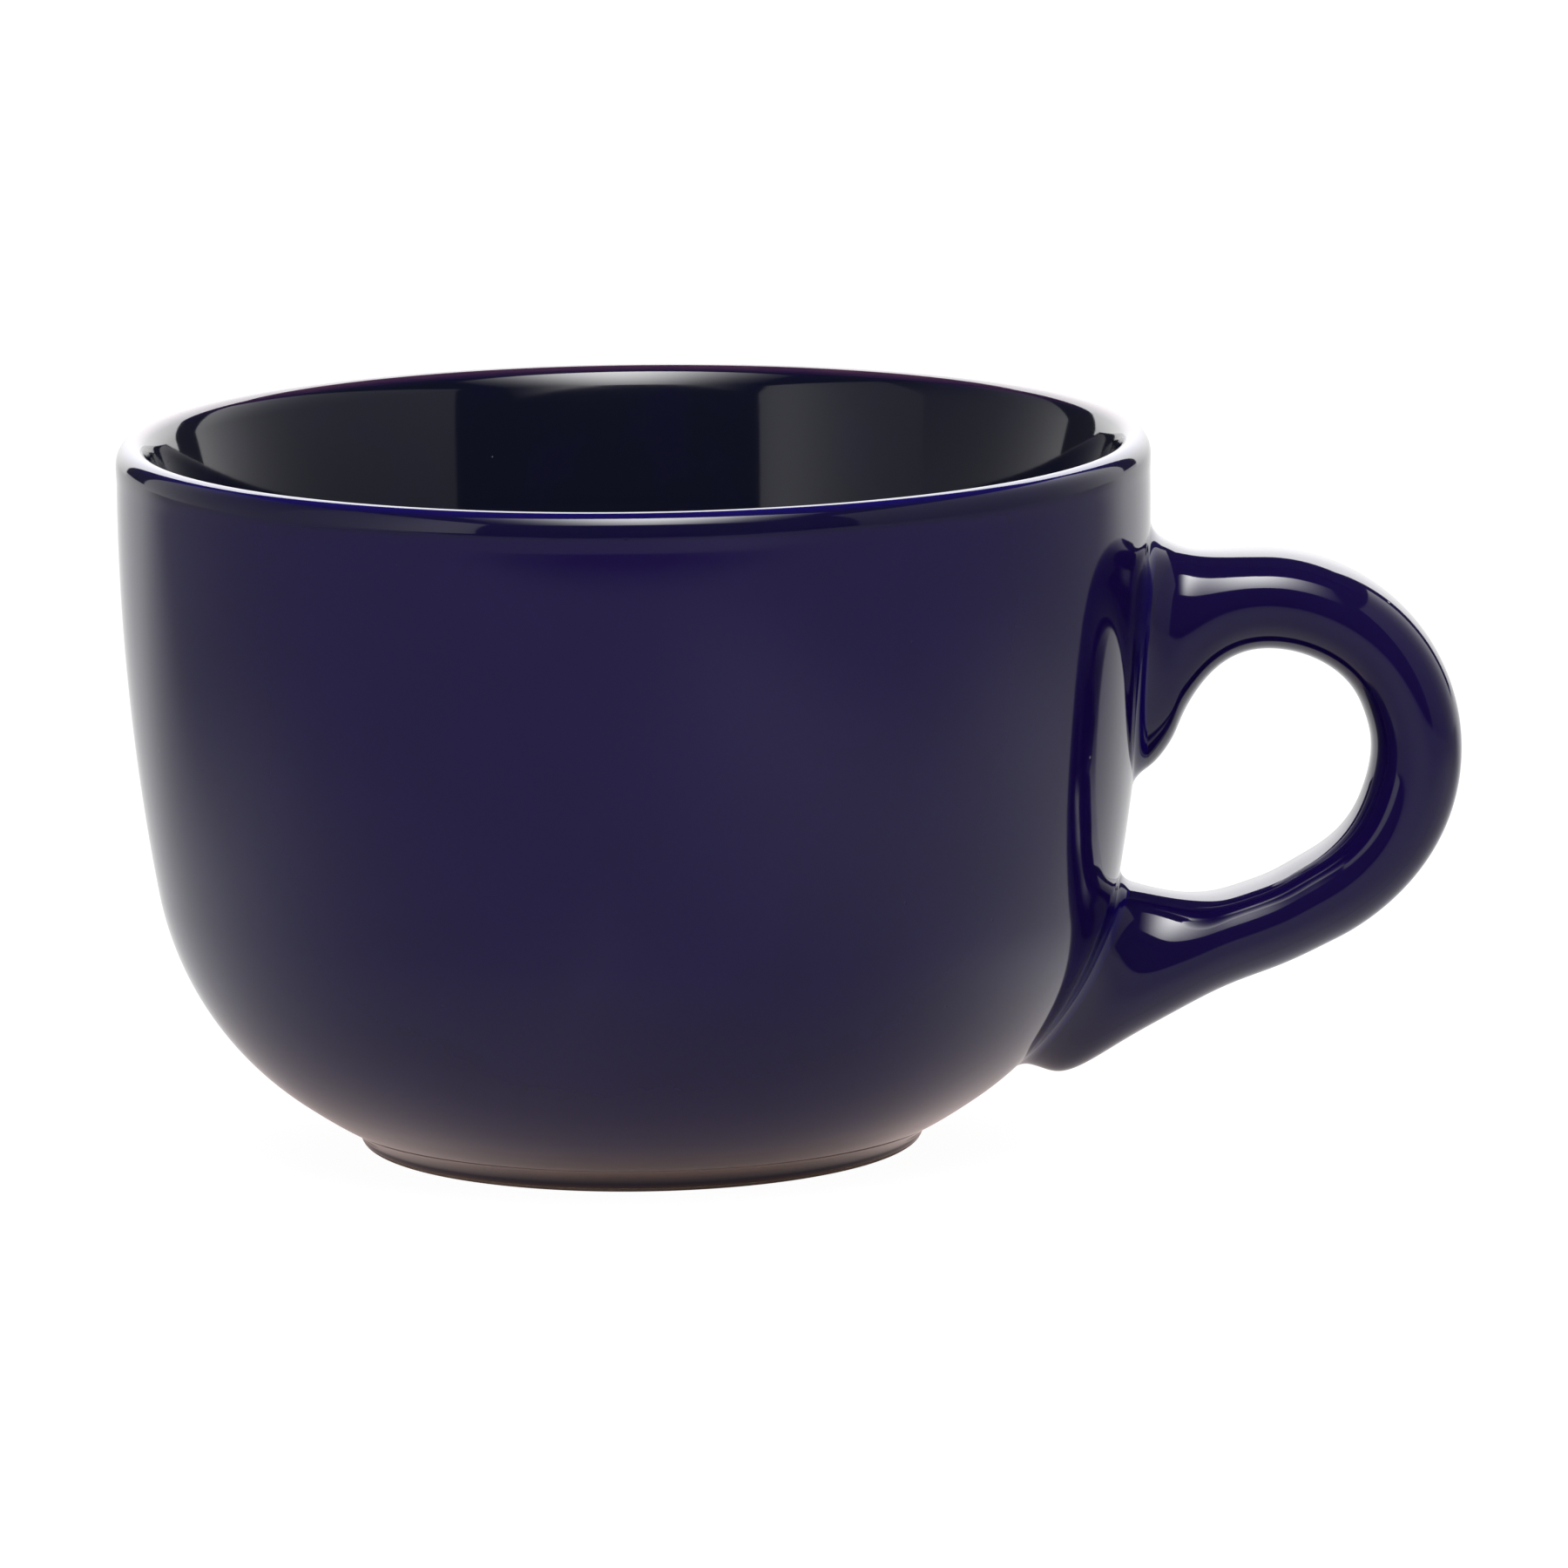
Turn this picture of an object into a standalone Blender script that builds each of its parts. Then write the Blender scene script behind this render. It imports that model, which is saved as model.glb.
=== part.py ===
"""Cappuccino mug: a wide, low stoneware bowl with a separately cast loop handle.

The bowl is turned about an upright axis, with its foot ring in the same clay, and its thick wall
tapers to a thin lip. The handle is a solid casting that swells out at both ends, and two thin pads
of luting slip join it to the bowl.

Lengths are in metres and +Z is up. The mug stands on z = 0 with its handle towards +X, and the origin
is under the middle of the whole mug, so the bowl's own axis lies on the -X side of it.
"""

import math
from typing import NamedTuple

import bmesh
import bpy

MM = 0.001

# Outside of the bowl
HEIGHT = 83.6 * MM
RIM_DIAMETER = 121.0 * MM
WIDEST_DROP = 6.4 * MM
WALL_ARC_RADIUS = 271.0 * MM
BELLY_RADIUS = 37.3 * MM

# Lip and inside of the bowl, whose thick wall tapers to a thin lip through a flared mouth
LIP_CREST_INSET = 1.7 * MM
LIP_ROUND_HEIGHT = 2.5 * MM
LIP_INNER_RADIUS = 2.3 * MM
MOUTH_TILT = 20.6
WALL_THICKNESS = 8.1 * MM

# Foot ring
FOOT_DIAMETER = 66.4 * MM
FOOT_HEIGHT = 2.7 * MM
FOOT_WIDTH = 5.6 * MM
FOOT_RECESS = 2.2 * MM
FOOT_EDGE_ROUND = 0.8 * MM
BELLY_OVERHANG = 1.1 * MM

# Loop of the handle
HANDLE_PROJECTION = 36.4 * MM
TOP_ARM_DROP = 20.3 * MM
HEEL_RISE = 27.8 * MM
LOWER_ARM_RUN = 8.6 * MM
LOWER_ARM_SLOPE = 23.9
TOP_ARM_THICKNESS = 11.8 * MM
GRIP_THICKNESS = 10.5 * MM
LOWER_ARM_THICKNESS = 11.1 * MM
ARM_WIDTH = 15.0 * MM
GRIP_WIDTH = 14.5 * MM
SECTION_SQUARENESS = 2.3

# Seats of the handle on the bowl
UPPER_SEAT_DROP = 12.0 * MM
UPPER_SEAT_LENGTH = 28.8 * MM
UPPER_SEAT_WIDTH = 22.6 * MM
LOWER_SEAT_RISE = 9.0 * MM
LOWER_SEAT_LENGTH = 21.3 * MM
LOWER_SEAT_WIDTH = 24.0 * MM
SEAT_EGG = 0.18
FLARE_POWER = 3.0

# Luting slip between the seats and the bowl
SLIP_THICKNESS = 0.6 * MM
SLIP_BEAD = 1.0 * MM
CLEARANCE = 0.3 * MM

# Fineness of the facets, with steps round arcs in degrees
BOWL_SIDES = 64
WALL_STEP = 2.5
BELLY_STEP = 8.0
LIP_STEP = 22.5
FOOT_STEP = 30.0
BEND_STEP = 9.0
NECK_STATIONS = 11
SECTION_POINTS = 28

SMOOTH_ANGLE = math.radians(35.0)
GLAZE_COLOUR = (0.0194, 0.0144, 0.0762, 1.0)
GLAZE_ROUGHNESS = 0.08


class NeckEdge(NamedTuple):
    """How one edge of the handle leaves the bowl and runs into an arm."""

    flare_angle: float
    flare_pull: float
    arm_pull: float


UPPER_NECK_OUTER = NeckEdge(flare_angle=-33.0, flare_pull=5.5 * MM, arm_pull=8.3 * MM)
UPPER_NECK_INNER = NeckEdge(flare_angle=15.0, flare_pull=6.1 * MM, arm_pull=9.2 * MM)
LOWER_NECK_OUTER = NeckEdge(flare_angle=-7.5, flare_pull=9.3 * MM, arm_pull=29.2 * MM)
LOWER_NECK_INNER = NeckEdge(flare_angle=-17.0, flare_pull=4.9 * MM, arm_pull=4.7 * MM)


class Station(NamedTuple):
    """One cross-section of the handle, between its outer and inner edge in the (r, z) plane."""

    outer: tuple
    inner: tuple
    width: float
    egg: float


# Small helpers in the turning plane, where a point is (distance from the bowl's axis, height)


def along(point, angle, distance):
    """Return the point that lies a distance away at an angle above level, in degrees."""
    turn = math.radians(angle)
    return (point[0] + distance * math.cos(turn), point[1] + distance * math.sin(turn))


def arc(centre, radius, start, stop, step):
    """Return points on an arc, both ends included, at most a step of degrees apart."""
    count = max(1, math.ceil(abs(stop - start) / step))
    return [along(centre, start + (stop - start) * i / count, radius) for i in range(count + 1)]


def angle_of(centre, point):
    """Return the direction from a centre to a point, in degrees above level."""
    return math.degrees(math.atan2(point[1] - centre[1], point[0] - centre[0]))


def bezier(start, first, second, stop, t):
    """Return the point at t on a cubic curve."""
    weights = ((1 - t) ** 3, 3 * t * (1 - t) ** 2, 3 * t * t * (1 - t), t ** 3)
    points = (start, first, second, stop)
    return tuple(sum(w * p[axis] for w, p in zip(weights, points)) for axis in (0, 1))


def blend(first, second, share):
    """Return the value that lies a share of the way from the first to the second."""
    return first + (second - first) * share


# Shape of the bowl

RIM_RADIUS = RIM_DIAMETER / 2
FOOT_RADIUS = FOOT_DIAMETER / 2
WIDEST_HEIGHT = HEIGHT - WIDEST_DROP
LIP_HEIGHT = HEIGHT - LIP_ROUND_HEIGHT
WALL_CENTRE = (RIM_RADIUS - WALL_ARC_RADIUS, WIDEST_HEIGHT)
BELLY_END = (FOOT_RADIUS + BELLY_OVERHANG, FOOT_HEIGHT)


def find_belly_centre():
    """Return the centre of the belly's arc, which runs on smoothly from the wall and ends at the foot."""
    reach = math.dist(WALL_CENTRE, BELLY_END)
    far = WALL_ARC_RADIUS - BELLY_RADIUS
    share = (far ** 2 - BELLY_RADIUS ** 2 + reach ** 2) / (2 * reach)
    rise = math.sqrt(far ** 2 - share ** 2)
    lean = angle_of(WALL_CENTRE, BELLY_END)
    return along(along(WALL_CENTRE, lean, share), lean + 90.0, rise)


BELLY_CENTRE = find_belly_centre()


def outer_wall(offset=0.0):
    """Return the outside of the bowl from below the lip down to the foot, moved outwards by an offset."""
    top_angle = math.degrees(math.asin((LIP_HEIGHT - WIDEST_HEIGHT) / WALL_ARC_RADIUS))
    join_angle = angle_of(WALL_CENTRE, BELLY_CENTRE)
    foot_angle = angle_of(BELLY_CENTRE, BELLY_END)
    wall = arc(WALL_CENTRE, WALL_ARC_RADIUS + offset, top_angle, join_angle, WALL_STEP)
    belly = arc(BELLY_CENTRE, BELLY_RADIUS + offset, join_angle, foot_angle, BELLY_STEP)
    return wall + belly[1:]


def bowl_radius(height):
    """Return the bowl's outer radius at a height between its foot and its lip."""
    join_height = along(BELLY_CENTRE, angle_of(WALL_CENTRE, BELLY_CENTRE), BELLY_RADIUS)[1]
    centre, radius = (WALL_CENTRE, WALL_ARC_RADIUS) if height > join_height else (BELLY_CENTRE, BELLY_RADIUS)
    return centre[0] + math.sqrt(radius ** 2 - (height - centre[1]) ** 2)


def find_mouth_radius(top, wall_radius):
    """Return the radius of the mouth that leaves the lip at its tilt and runs smoothly into the wall."""
    offset = (top[0] - WALL_CENTRE[0], top[1] - WALL_CENTRE[1])
    lean = math.radians(MOUTH_TILT)
    reach = offset[0] * math.cos(lean) - offset[1] * math.sin(lean)
    return (offset[0] ** 2 + offset[1] ** 2 - wall_radius ** 2) / (2 * (wall_radius - reach))


def inner_wall():
    """Return the inside of the bowl from the middle of its floor, up the wall and the mouth, to the crest."""
    lip_centre = (bowl_radius(LIP_HEIGHT) - LIP_CREST_INSET, HEIGHT - LIP_INNER_RADIUS)
    mouth_top = along(lip_centre, 180.0 - MOUTH_TILT, LIP_INNER_RADIUS)
    wall_radius = WALL_ARC_RADIUS - WALL_THICKNESS
    belly_radius = BELLY_RADIUS - WALL_THICKNESS
    mouth_radius = find_mouth_radius(mouth_top, wall_radius)
    mouth_centre = along(mouth_top, -MOUTH_TILT, mouth_radius)
    join_angle = angle_of(WALL_CENTRE, BELLY_CENTRE)
    wall_angle = angle_of(WALL_CENTRE, mouth_centre)
    belly = arc(BELLY_CENTRE, belly_radius, -90.0, join_angle, BELLY_STEP)
    wall = arc(WALL_CENTRE, wall_radius, join_angle, wall_angle, WALL_STEP)
    mouth = arc(mouth_centre, mouth_radius, 180.0 + wall_angle, 180.0 - MOUTH_TILT, WALL_STEP)
    lip_inside = arc(lip_centre, LIP_INNER_RADIUS, 180.0 - MOUTH_TILT, 90.0, LIP_STEP)
    return [(0.0, belly[0][1])] + belly + wall[1:] + mouth[1:] + lip_inside[1:]


def lip_outside(crest, outer_edge):
    """Return the rounded outside of the lip between its crest and the outer wall, without its two ends."""
    half = outer_edge[0] - crest[0]
    turn = arc((0.0, 0.0), 1.0, 90.0, 0.0, LIP_STEP)
    return [(crest[0] + half * x, outer_edge[1] + LIP_ROUND_HEIGHT * y) for x, y in turn[1:-1]]


def foot_ring():
    """Return the foot from under the belly, round its standing face, to the middle of the recess."""
    inner_radius = FOOT_RADIUS - FOOT_WIDTH
    outer_middle = (FOOT_RADIUS - FOOT_EDGE_ROUND, FOOT_EDGE_ROUND)
    inner_middle = (inner_radius + FOOT_EDGE_ROUND, FOOT_EDGE_ROUND)
    outer_edge = arc(outer_middle, FOOT_EDGE_ROUND, 0.0, -90.0, FOOT_STEP)
    inner_edge = arc(inner_middle, FOOT_EDGE_ROUND, -90.0, -180.0, FOOT_STEP)
    crease = (FOOT_RADIUS, FOOT_HEIGHT - BELLY_OVERHANG / 2)
    return [crease] + outer_edge + inner_edge + [(inner_radius, FOOT_RECESS), (0.0, FOOT_RECESS)]


def bowl_outline():
    """Return the half section of the bowl, from its floor over the lip to the middle of its underside."""
    inside = inner_wall()
    outside = outer_wall()
    return inside + lip_outside(inside[-1], outside[0]) + outside + foot_ring()


def filled_outline(offset):
    """Return the half section of a solid plug with the bowl's outside, moved outwards by an offset."""
    wall = outer_wall(offset)
    return [(0.0, wall[0][1])] + wall + [(0.0, wall[-1][1])]


# Shape of the handle

REACH = RIM_RADIUS + HANDLE_PROJECTION
GRIP_CENTRE_RADIUS = REACH - GRIP_THICKNESS / 2
TOP_ARM_HEIGHT = HEIGHT - TOP_ARM_DROP
GRIP_HEIGHT = (TOP_ARM_HEIGHT + HEEL_RISE) / 2
SHOULDER_RADIUS = TOP_ARM_HEIGHT - GRIP_HEIGHT
HEEL_RADIUS = (GRIP_HEIGHT - HEEL_RISE) / math.cos(math.radians(LOWER_ARM_SLOPE))
UPPER_SEAT_TOP = HEIGHT - UPPER_SEAT_DROP
LOWER_SEAT_TOP = LOWER_SEAT_RISE + LOWER_SEAT_LENGTH


def across(middle, direction, thickness, width):
    """Return a plain station whose edges lie on either side of a point of the centre line.

    The direction, in degrees above level, points from the middle to the outer edge.
    """
    outer = along(middle, direction, thickness / 2)
    inner = along(middle, direction, -thickness / 2)
    return Station(outer, inner, width, egg=0.0)


def bend(centre, radius, start, stop, thicknesses, widths):
    """Return stations round an arc of the centre line, from one thickness and width to another."""
    count = math.ceil(abs(stop - start) / BEND_STEP)
    stations = []
    for i in range(count + 1):
        share = i / count
        angle = blend(start, stop, share)
        middle = along(centre, angle, radius)
        stations.append(across(middle, angle, blend(*thicknesses, share), blend(*widths, share)))
    return stations


def seat(top, bottom, width, outer_is_top):
    """Return the station at which the middle lines of a neck's edges meet the bowl."""
    high = (bowl_radius(top), top)
    low = (bowl_radius(bottom), bottom)
    outer, inner = (high, low) if outer_is_top else (low, high)
    return Station(outer, inner, width, SEAT_EGG)


def neck(base, arm, arm_angle, outer_edge, inner_edge):
    """Return stations from a seat out to an arm, with flared edges, the arm's own station left out.

    The arm angle is the direction in which the arm runs back to the bowl, in degrees above level.
    """
    stations = []
    for i in range(NECK_STATIONS):
        t = i / NECK_STATIONS
        edges = []
        for start, stop, edge in ((base.outer, arm.outer, outer_edge), (base.inner, arm.inner, inner_edge)):
            first = along(start, edge.flare_angle, edge.flare_pull)
            second = along(stop, arm_angle, edge.arm_pull)
            edges.append(bezier(start, first, second, stop, t))
        flare = (1 - t) ** FLARE_POWER
        stations.append(Station(*edges, blend(arm.width, base.width, flare), base.egg * flare))
    return stations


def seat_normal(base):
    """Return the direction, in degrees above level, that points straight out of the bowl at a seat."""
    middle = tuple((a + b) / 2 for a, b in zip(base.outer, base.inner))
    centre = WALL_CENTRE if middle[1] > BELLY_CENTRE[1] else BELLY_CENTRE
    return angle_of(centre, middle)


def moved(station, angle, distance, growth=0.0):
    """Return a station moved in its plane, and grown on all sides."""
    spread = angle_of(station.inner, station.outer)
    outer = along(along(station.outer, angle, distance), spread, growth)
    inner = along(along(station.inner, angle, distance), spread, -growth)
    return Station(outer, inner, station.width + 2 * growth, station.egg)


def seat_depth(base):
    """Return how far a seat's blank runs into the bowl, deeper than the bowl curves under it."""
    return math.dist(base.outer, base.inner) / 4


UPPER_SEAT = seat(UPPER_SEAT_TOP, UPPER_SEAT_TOP - UPPER_SEAT_LENGTH, UPPER_SEAT_WIDTH, outer_is_top=True)
LOWER_SEAT = seat(LOWER_SEAT_TOP, LOWER_SEAT_RISE, LOWER_SEAT_WIDTH, outer_is_top=False)


def handle_stations():
    """Return the handle's cross-sections from its upper seat, round the loop, to its lower seat."""
    shoulder_centre = (GRIP_CENTRE_RADIUS - SHOULDER_RADIUS, GRIP_HEIGHT)
    heel_centre = (GRIP_CENTRE_RADIUS - HEEL_RADIUS, GRIP_HEIGHT)
    heel_stop = LOWER_ARM_SLOPE - 90.0
    shoulder = bend(shoulder_centre, SHOULDER_RADIUS, 90.0, 0.0,
                    (TOP_ARM_THICKNESS, GRIP_THICKNESS), (ARM_WIDTH, GRIP_WIDTH))
    heel = bend(heel_centre, HEEL_RADIUS, 0.0, heel_stop,
                (GRIP_THICKNESS, LOWER_ARM_THICKNESS), (GRIP_WIDTH, ARM_WIDTH))
    back_to_bowl = 180.0 + LOWER_ARM_SLOPE
    arm_end = along(along(heel_centre, heel_stop, HEEL_RADIUS), back_to_bowl, LOWER_ARM_RUN)
    lower_arm = across(arm_end, heel_stop, LOWER_ARM_THICKNESS, ARM_WIDTH)
    upper_neck = neck(UPPER_SEAT, shoulder[0], 180.0, UPPER_NECK_OUTER, UPPER_NECK_INNER)
    lower_neck = neck(LOWER_SEAT, lower_arm, back_to_bowl, LOWER_NECK_OUTER, LOWER_NECK_INNER)
    upper_end = moved(UPPER_SEAT, seat_normal(UPPER_SEAT), -seat_depth(UPPER_SEAT))
    lower_end = moved(LOWER_SEAT, seat_normal(LOWER_SEAT), -seat_depth(LOWER_SEAT))
    return [upper_end] + upper_neck + shoulder + heel[1:] + [lower_arm] + lower_neck[::-1] + [lower_end]


def section(station):
    """Return the points round a station's cross-section, an oval that is fuller on its outer side."""
    middle = [(a + b) / 2 for a, b in zip(station.outer, station.inner)]
    points = []
    for i in range(SECTION_POINTS):
        turn = 2 * math.pi * i / SECTION_POINTS
        rise = math.copysign(abs(math.cos(turn)) ** (2 / SECTION_SQUARENESS), math.cos(turn))
        side = math.copysign(abs(math.sin(turn)) ** (2 / SECTION_SQUARENESS), math.sin(turn))
        radius, height = (m + rise * (a - m) for m, a in zip(middle, station.outer))
        points.append((radius, side * (1 + station.egg * rise) * station.width / 2, height))
    return points


# Objects


def glaze(name):
    """Return a material for cobalt-blue glazed stoneware."""
    material = bpy.data.materials.new(name)
    material.use_nodes = True
    shader = material.node_tree.nodes["Principled BSDF"]
    shader.inputs["Base Color"].default_value = GLAZE_COLOUR
    shader.inputs["Roughness"].default_value = GLAZE_ROUGHNESS
    shader.inputs["Metallic"].default_value = 0.0
    return material


def place(name, mesh, axis):
    """Return a new object with a mesh, standing on the bowl's axis."""
    item = bpy.data.objects.new(name, mesh)
    bpy.context.scene.collection.objects.link(item)
    item.parent = axis
    return item


def hide_cutter(item):
    """Keep a cutter out of the model: it only shapes its neighbours."""
    item.hide_render = True
    item.display_type = "WIRE"


def turned(name, outline, axis):
    """Return an object turned from a half section that runs down its outer side."""
    mesh = bpy.data.meshes.new(name)
    edges = [(i, i + 1) for i in range(len(outline) - 1)]
    mesh.from_pydata([(radius, 0.0, height) for radius, height in outline], edges, [])
    item = place(name, mesh, axis)
    screw = item.modifiers.new("turn", "SCREW")
    screw.steps = BOWL_SIDES
    screw.render_steps = BOWL_SIDES
    screw.use_merge_vertices = True
    screw.merge_threshold = 0.01 * MM
    screw.use_smooth_shade = True
    return item


def lofted(name, stations, axis):
    """Return a closed object stretched over a row of cross-sections."""
    mesh = bpy.data.meshes.new(name)
    work = bmesh.new()
    rings = [[work.verts.new(point) for point in section(station)] for station in stations]
    for near, far in zip(rings, rings[1:]):
        for i in range(SECTION_POINTS):
            following = (i + 1) % SECTION_POINTS
            work.faces.new((near[i], far[i], far[following], near[following]))
    work.faces.new(rings[0])
    work.faces.new(rings[-1])
    bmesh.ops.recalc_face_normals(work, faces=work.faces)
    work.to_mesh(mesh)
    work.free()
    mesh.shade_smooth()
    mesh.set_sharp_from_angle(angle=SMOOTH_ANGLE)
    return place(name, mesh, axis)


def trim(item, cutter, operation):
    """Cut an object back with another, or keep only what lies inside it."""
    boolean = item.modifiers.new(operation.lower(), "BOOLEAN")
    boolean.object = cutter
    boolean.operation = operation
    boolean.solver = "EXACT"


def build_bowl(axis):
    """Make the bowl with its lip, floor and foot ring."""
    bowl = turned("bowl", bowl_outline(), axis)
    bowl.data.materials.append(glaze("bowl_glaze"))


def build_handle(axis):
    """Make the handle, with seats that follow the bowl outside the slip joints."""
    handle = lofted("handle", handle_stations(), axis)
    handle.data.materials.append(glaze("handle_glaze"))
    cutter = turned("handle_seat_cutter", filled_outline(SLIP_THICKNESS + 2 * CLEARANCE), axis)
    hide_cutter(cutter)
    trim(handle, cutter, "DIFFERENCE")


def build_slip_joints(axis):
    """Make the pads of luting slip, a little wider than the handle's seats."""
    outside = turned("slip_outside_cutter", filled_outline(CLEARANCE + SLIP_THICKNESS), axis)
    inside = turned("slip_inside_cutter", filled_outline(CLEARANCE), axis)
    for cutter in (outside, inside):
        hide_cutter(cutter)
    for name, base in (("upper_slip_joint", UPPER_SEAT), ("lower_slip_joint", LOWER_SEAT)):
        depth = seat_depth(base)
        blank = [moved(base, seat_normal(base), distance, SLIP_BEAD) for distance in (-depth, depth)]
        pad = lofted(name, blank, axis)
        pad.data.materials.append(glaze(f"{name}_glaze"))
        trim(pad, outside, "INTERSECT")
        trim(pad, inside, "DIFFERENCE")


def main():
    """Clear the scene and make the mug's pieces round the bowl's axis."""
    for item in list(bpy.data.objects):
        bpy.data.objects.remove(item, do_unlink=True)
    axis = bpy.data.objects.new("bowl_axis", None)
    bpy.context.scene.collection.objects.link(axis)
    axis.location = (-HANDLE_PROJECTION / 2, 0.0, 0.0)
    build_bowl(axis)
    build_handle(axis)
    build_slip_joints(axis)


main()
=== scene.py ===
"""Looks of a cobalt-glazed cappuccino mug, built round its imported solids.

Lengths are in metres and +Z is up. The mug stands on z = 0 with its handle towards +X, and the bowl's
own axis lies on the -X side of the origin.
"""

import logging
import math
from dataclasses import dataclass
from enum import Enum
from typing import Any, NamedTuple, Optional

import bmesh
import bpy
import numpy as np
from mathutils import Matrix, Vector


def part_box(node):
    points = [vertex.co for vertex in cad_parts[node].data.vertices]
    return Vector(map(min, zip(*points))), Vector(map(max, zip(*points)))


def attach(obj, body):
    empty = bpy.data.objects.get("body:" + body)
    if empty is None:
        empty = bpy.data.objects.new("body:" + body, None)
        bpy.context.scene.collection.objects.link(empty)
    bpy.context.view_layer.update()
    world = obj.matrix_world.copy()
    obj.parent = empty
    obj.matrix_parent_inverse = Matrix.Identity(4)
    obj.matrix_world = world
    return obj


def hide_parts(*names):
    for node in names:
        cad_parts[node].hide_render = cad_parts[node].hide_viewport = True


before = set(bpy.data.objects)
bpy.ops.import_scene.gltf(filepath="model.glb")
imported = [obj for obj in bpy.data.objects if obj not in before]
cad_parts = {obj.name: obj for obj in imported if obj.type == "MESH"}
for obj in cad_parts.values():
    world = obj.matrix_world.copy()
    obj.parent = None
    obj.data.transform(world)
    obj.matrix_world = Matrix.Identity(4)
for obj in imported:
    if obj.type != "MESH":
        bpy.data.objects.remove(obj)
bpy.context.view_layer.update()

MM = 0.001
LOG = logging.getLogger("cappuccino_mug")
TINTS = ("edge", "painted_shade", "wear_and_sheen")
MERGE_GAP = 1e-7
SOFT_STEPS = 8
SOFT_ENDS = 2.5
NO_FALL = 1000.0
WHITE = "#FFFFFF"

Point = tuple[float, float]
Triple = tuple[float, float, float]
Colour = tuple[float, float, float, float]
Inputs = Optional[dict[Any, Any]]
Item = bpy.types.Object
Material = bpy.types.Material
Mesh = bpy.types.Mesh
Tree = bpy.types.NodeTree
Socket = bpy.types.NodeSocket


class Maths(Enum):
    """The kinds of maths node, by their type names."""

    NUMBER = "ShaderNodeMath"
    WHOLE = "FunctionNodeIntegerMath"
    VECTOR = "ShaderNodeVectorMath"


class Ray(Enum):
    """Rays that see the white set instead of its plain lit surface, by their Light Path outputs."""

    CAMERA = "Is Camera Ray"
    GLOSSY = "Is Glossy Ray"
    TRANSMISSION = "Is Transmission Ray"


class SeatEnd(Enum):
    """The two ends of the handle, by the names of the slip joints that hold them."""

    UPPER = "upper_slip_joint"
    LOWER = "lower_slip_joint"


# Helpers for colours, nodes and objects


def linear(hex_colour: str) -> Colour:
    """Turn an sRGB hex colour into linear light.

    Args:
        hex_colour: Six hex digits after a hash sign.

    Returns:
        Linear red, green and blue, with an alpha of one.
    """
    shares = [int(hex_colour[i:i + 2], 16) / 255 for i in (1, 3, 5)]
    red, green, blue = (s / 12.92 if s <= 0.04045 else ((s + 0.055) / 1.055) ** 2.4 for s in shares)
    return red, green, blue, 1.0


def add_node(tree: Tree, kind: str, inputs: Inputs = None, **settings: Any) -> bpy.types.Node:
    """Add a node to a tree with its settings, values and links.

    Args:
        tree: The tree that takes the node.
        kind: The node's type name.
        inputs: Values or sockets to link, by the name or number of the input.
        settings: The node's own settings.

    Returns:
        The new node.
    """
    node = tree.nodes.new(kind)
    for name, value in settings.items():
        setattr(node, name, value)
    for key, value in (inputs or {}).items():
        if isinstance(value, bpy.types.NodeSocket):
            tree.links.new(value, node.inputs[key])
        else:
            node.inputs[key].default_value = value
    return node


def feed(tree: Tree, kind: str, inputs: Inputs = None, output: Any = 0, **settings: Any) -> Socket:
    """Add a node like add_node and return one of its outputs, the first if none is named."""
    return add_node(tree, kind, inputs, **settings).outputs[output]


def compute(tree: Tree, operation: str, *values: Any, kind: Maths = Maths.NUMBER, **settings: Any) -> Socket:
    """Add a maths node that works on values or sockets in order, and return its result."""
    return feed(tree, kind.value, dict(enumerate(values)), operation=operation, **settings)


def scale_vector(tree: Tree, vector: Socket, factor: Socket) -> Socket:
    """Add a node that makes a vector longer or shorter, and return its result."""
    return feed(tree, Maths.VECTOR.value, {0: vector, "Scale": factor}, operation="SCALE")


def map_range(tree: Tree, value: Socket, to: tuple[Any, Any], start: Point = (0.0, 1.0),
              **settings: Any) -> Socket:
    """Add a node that carries a value from one range over to another.

    Args:
        tree: The tree that takes the node.
        value: The socket with the value.
        to: The results at the start's two ends, which hold beyond them too.
        start: The range that the value comes from.
        settings: The node's own settings.

    Returns:
        The socket with the result.
    """
    ends = {"From Min": start[0], "From Max": start[1], "To Min": to[0], "To Max": to[1]}
    return feed(tree, "ShaderNodeMapRange", {"Value": value, **ends}, "Result", **settings)


def mix_colour(tree: Tree, share: Socket, first: Any, second: Any) -> Socket:
    """Add a node that goes from the first colour to the second by a share, and return its result."""
    return feed(tree, "ShaderNodeMix", {"Factor": share, "A": first, "B": second}, "Result", data_type="RGBA")


def add_bell(tree: Tree, place: Socket, centre: Triple, size: Triple) -> Socket:
    """Add nodes for a soft spot that is one at its centre and falls off like a bell.

    Args:
        tree: The tree that takes the nodes.
        place: The coordinates that the spot is laid out on.
        centre: The spot's centre.
        size: The distance along each axis at which it has fallen to about a third.

    Returns:
        The socket with the spot's strength.
    """
    offset = compute(tree, "SUBTRACT", place, centre, kind=Maths.VECTOR)
    spread = compute(tree, "DIVIDE", offset, size, kind=Maths.VECTOR)
    square = feed(tree, Maths.VECTOR.value, {0: spread, 1: spread}, "Value", operation="DOT_PRODUCT")
    return compute(tree, "POWER", math.exp(-1.0), square)


def new_material(name: str) -> tuple[Material, Tree]:
    """Make a material and return it with its node tree."""
    material = bpy.data.materials.new(name)
    material.use_nodes = True
    return material, material.node_tree


def set_surface(tree: Tree, shader: Socket) -> None:
    """Give a material a shader of its own in place of the one it starts with."""
    tree.nodes.remove(tree.nodes["Principled BSDF"])
    tree.links.new(shader, tree.nodes["Material Output"].inputs["Surface"])


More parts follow.
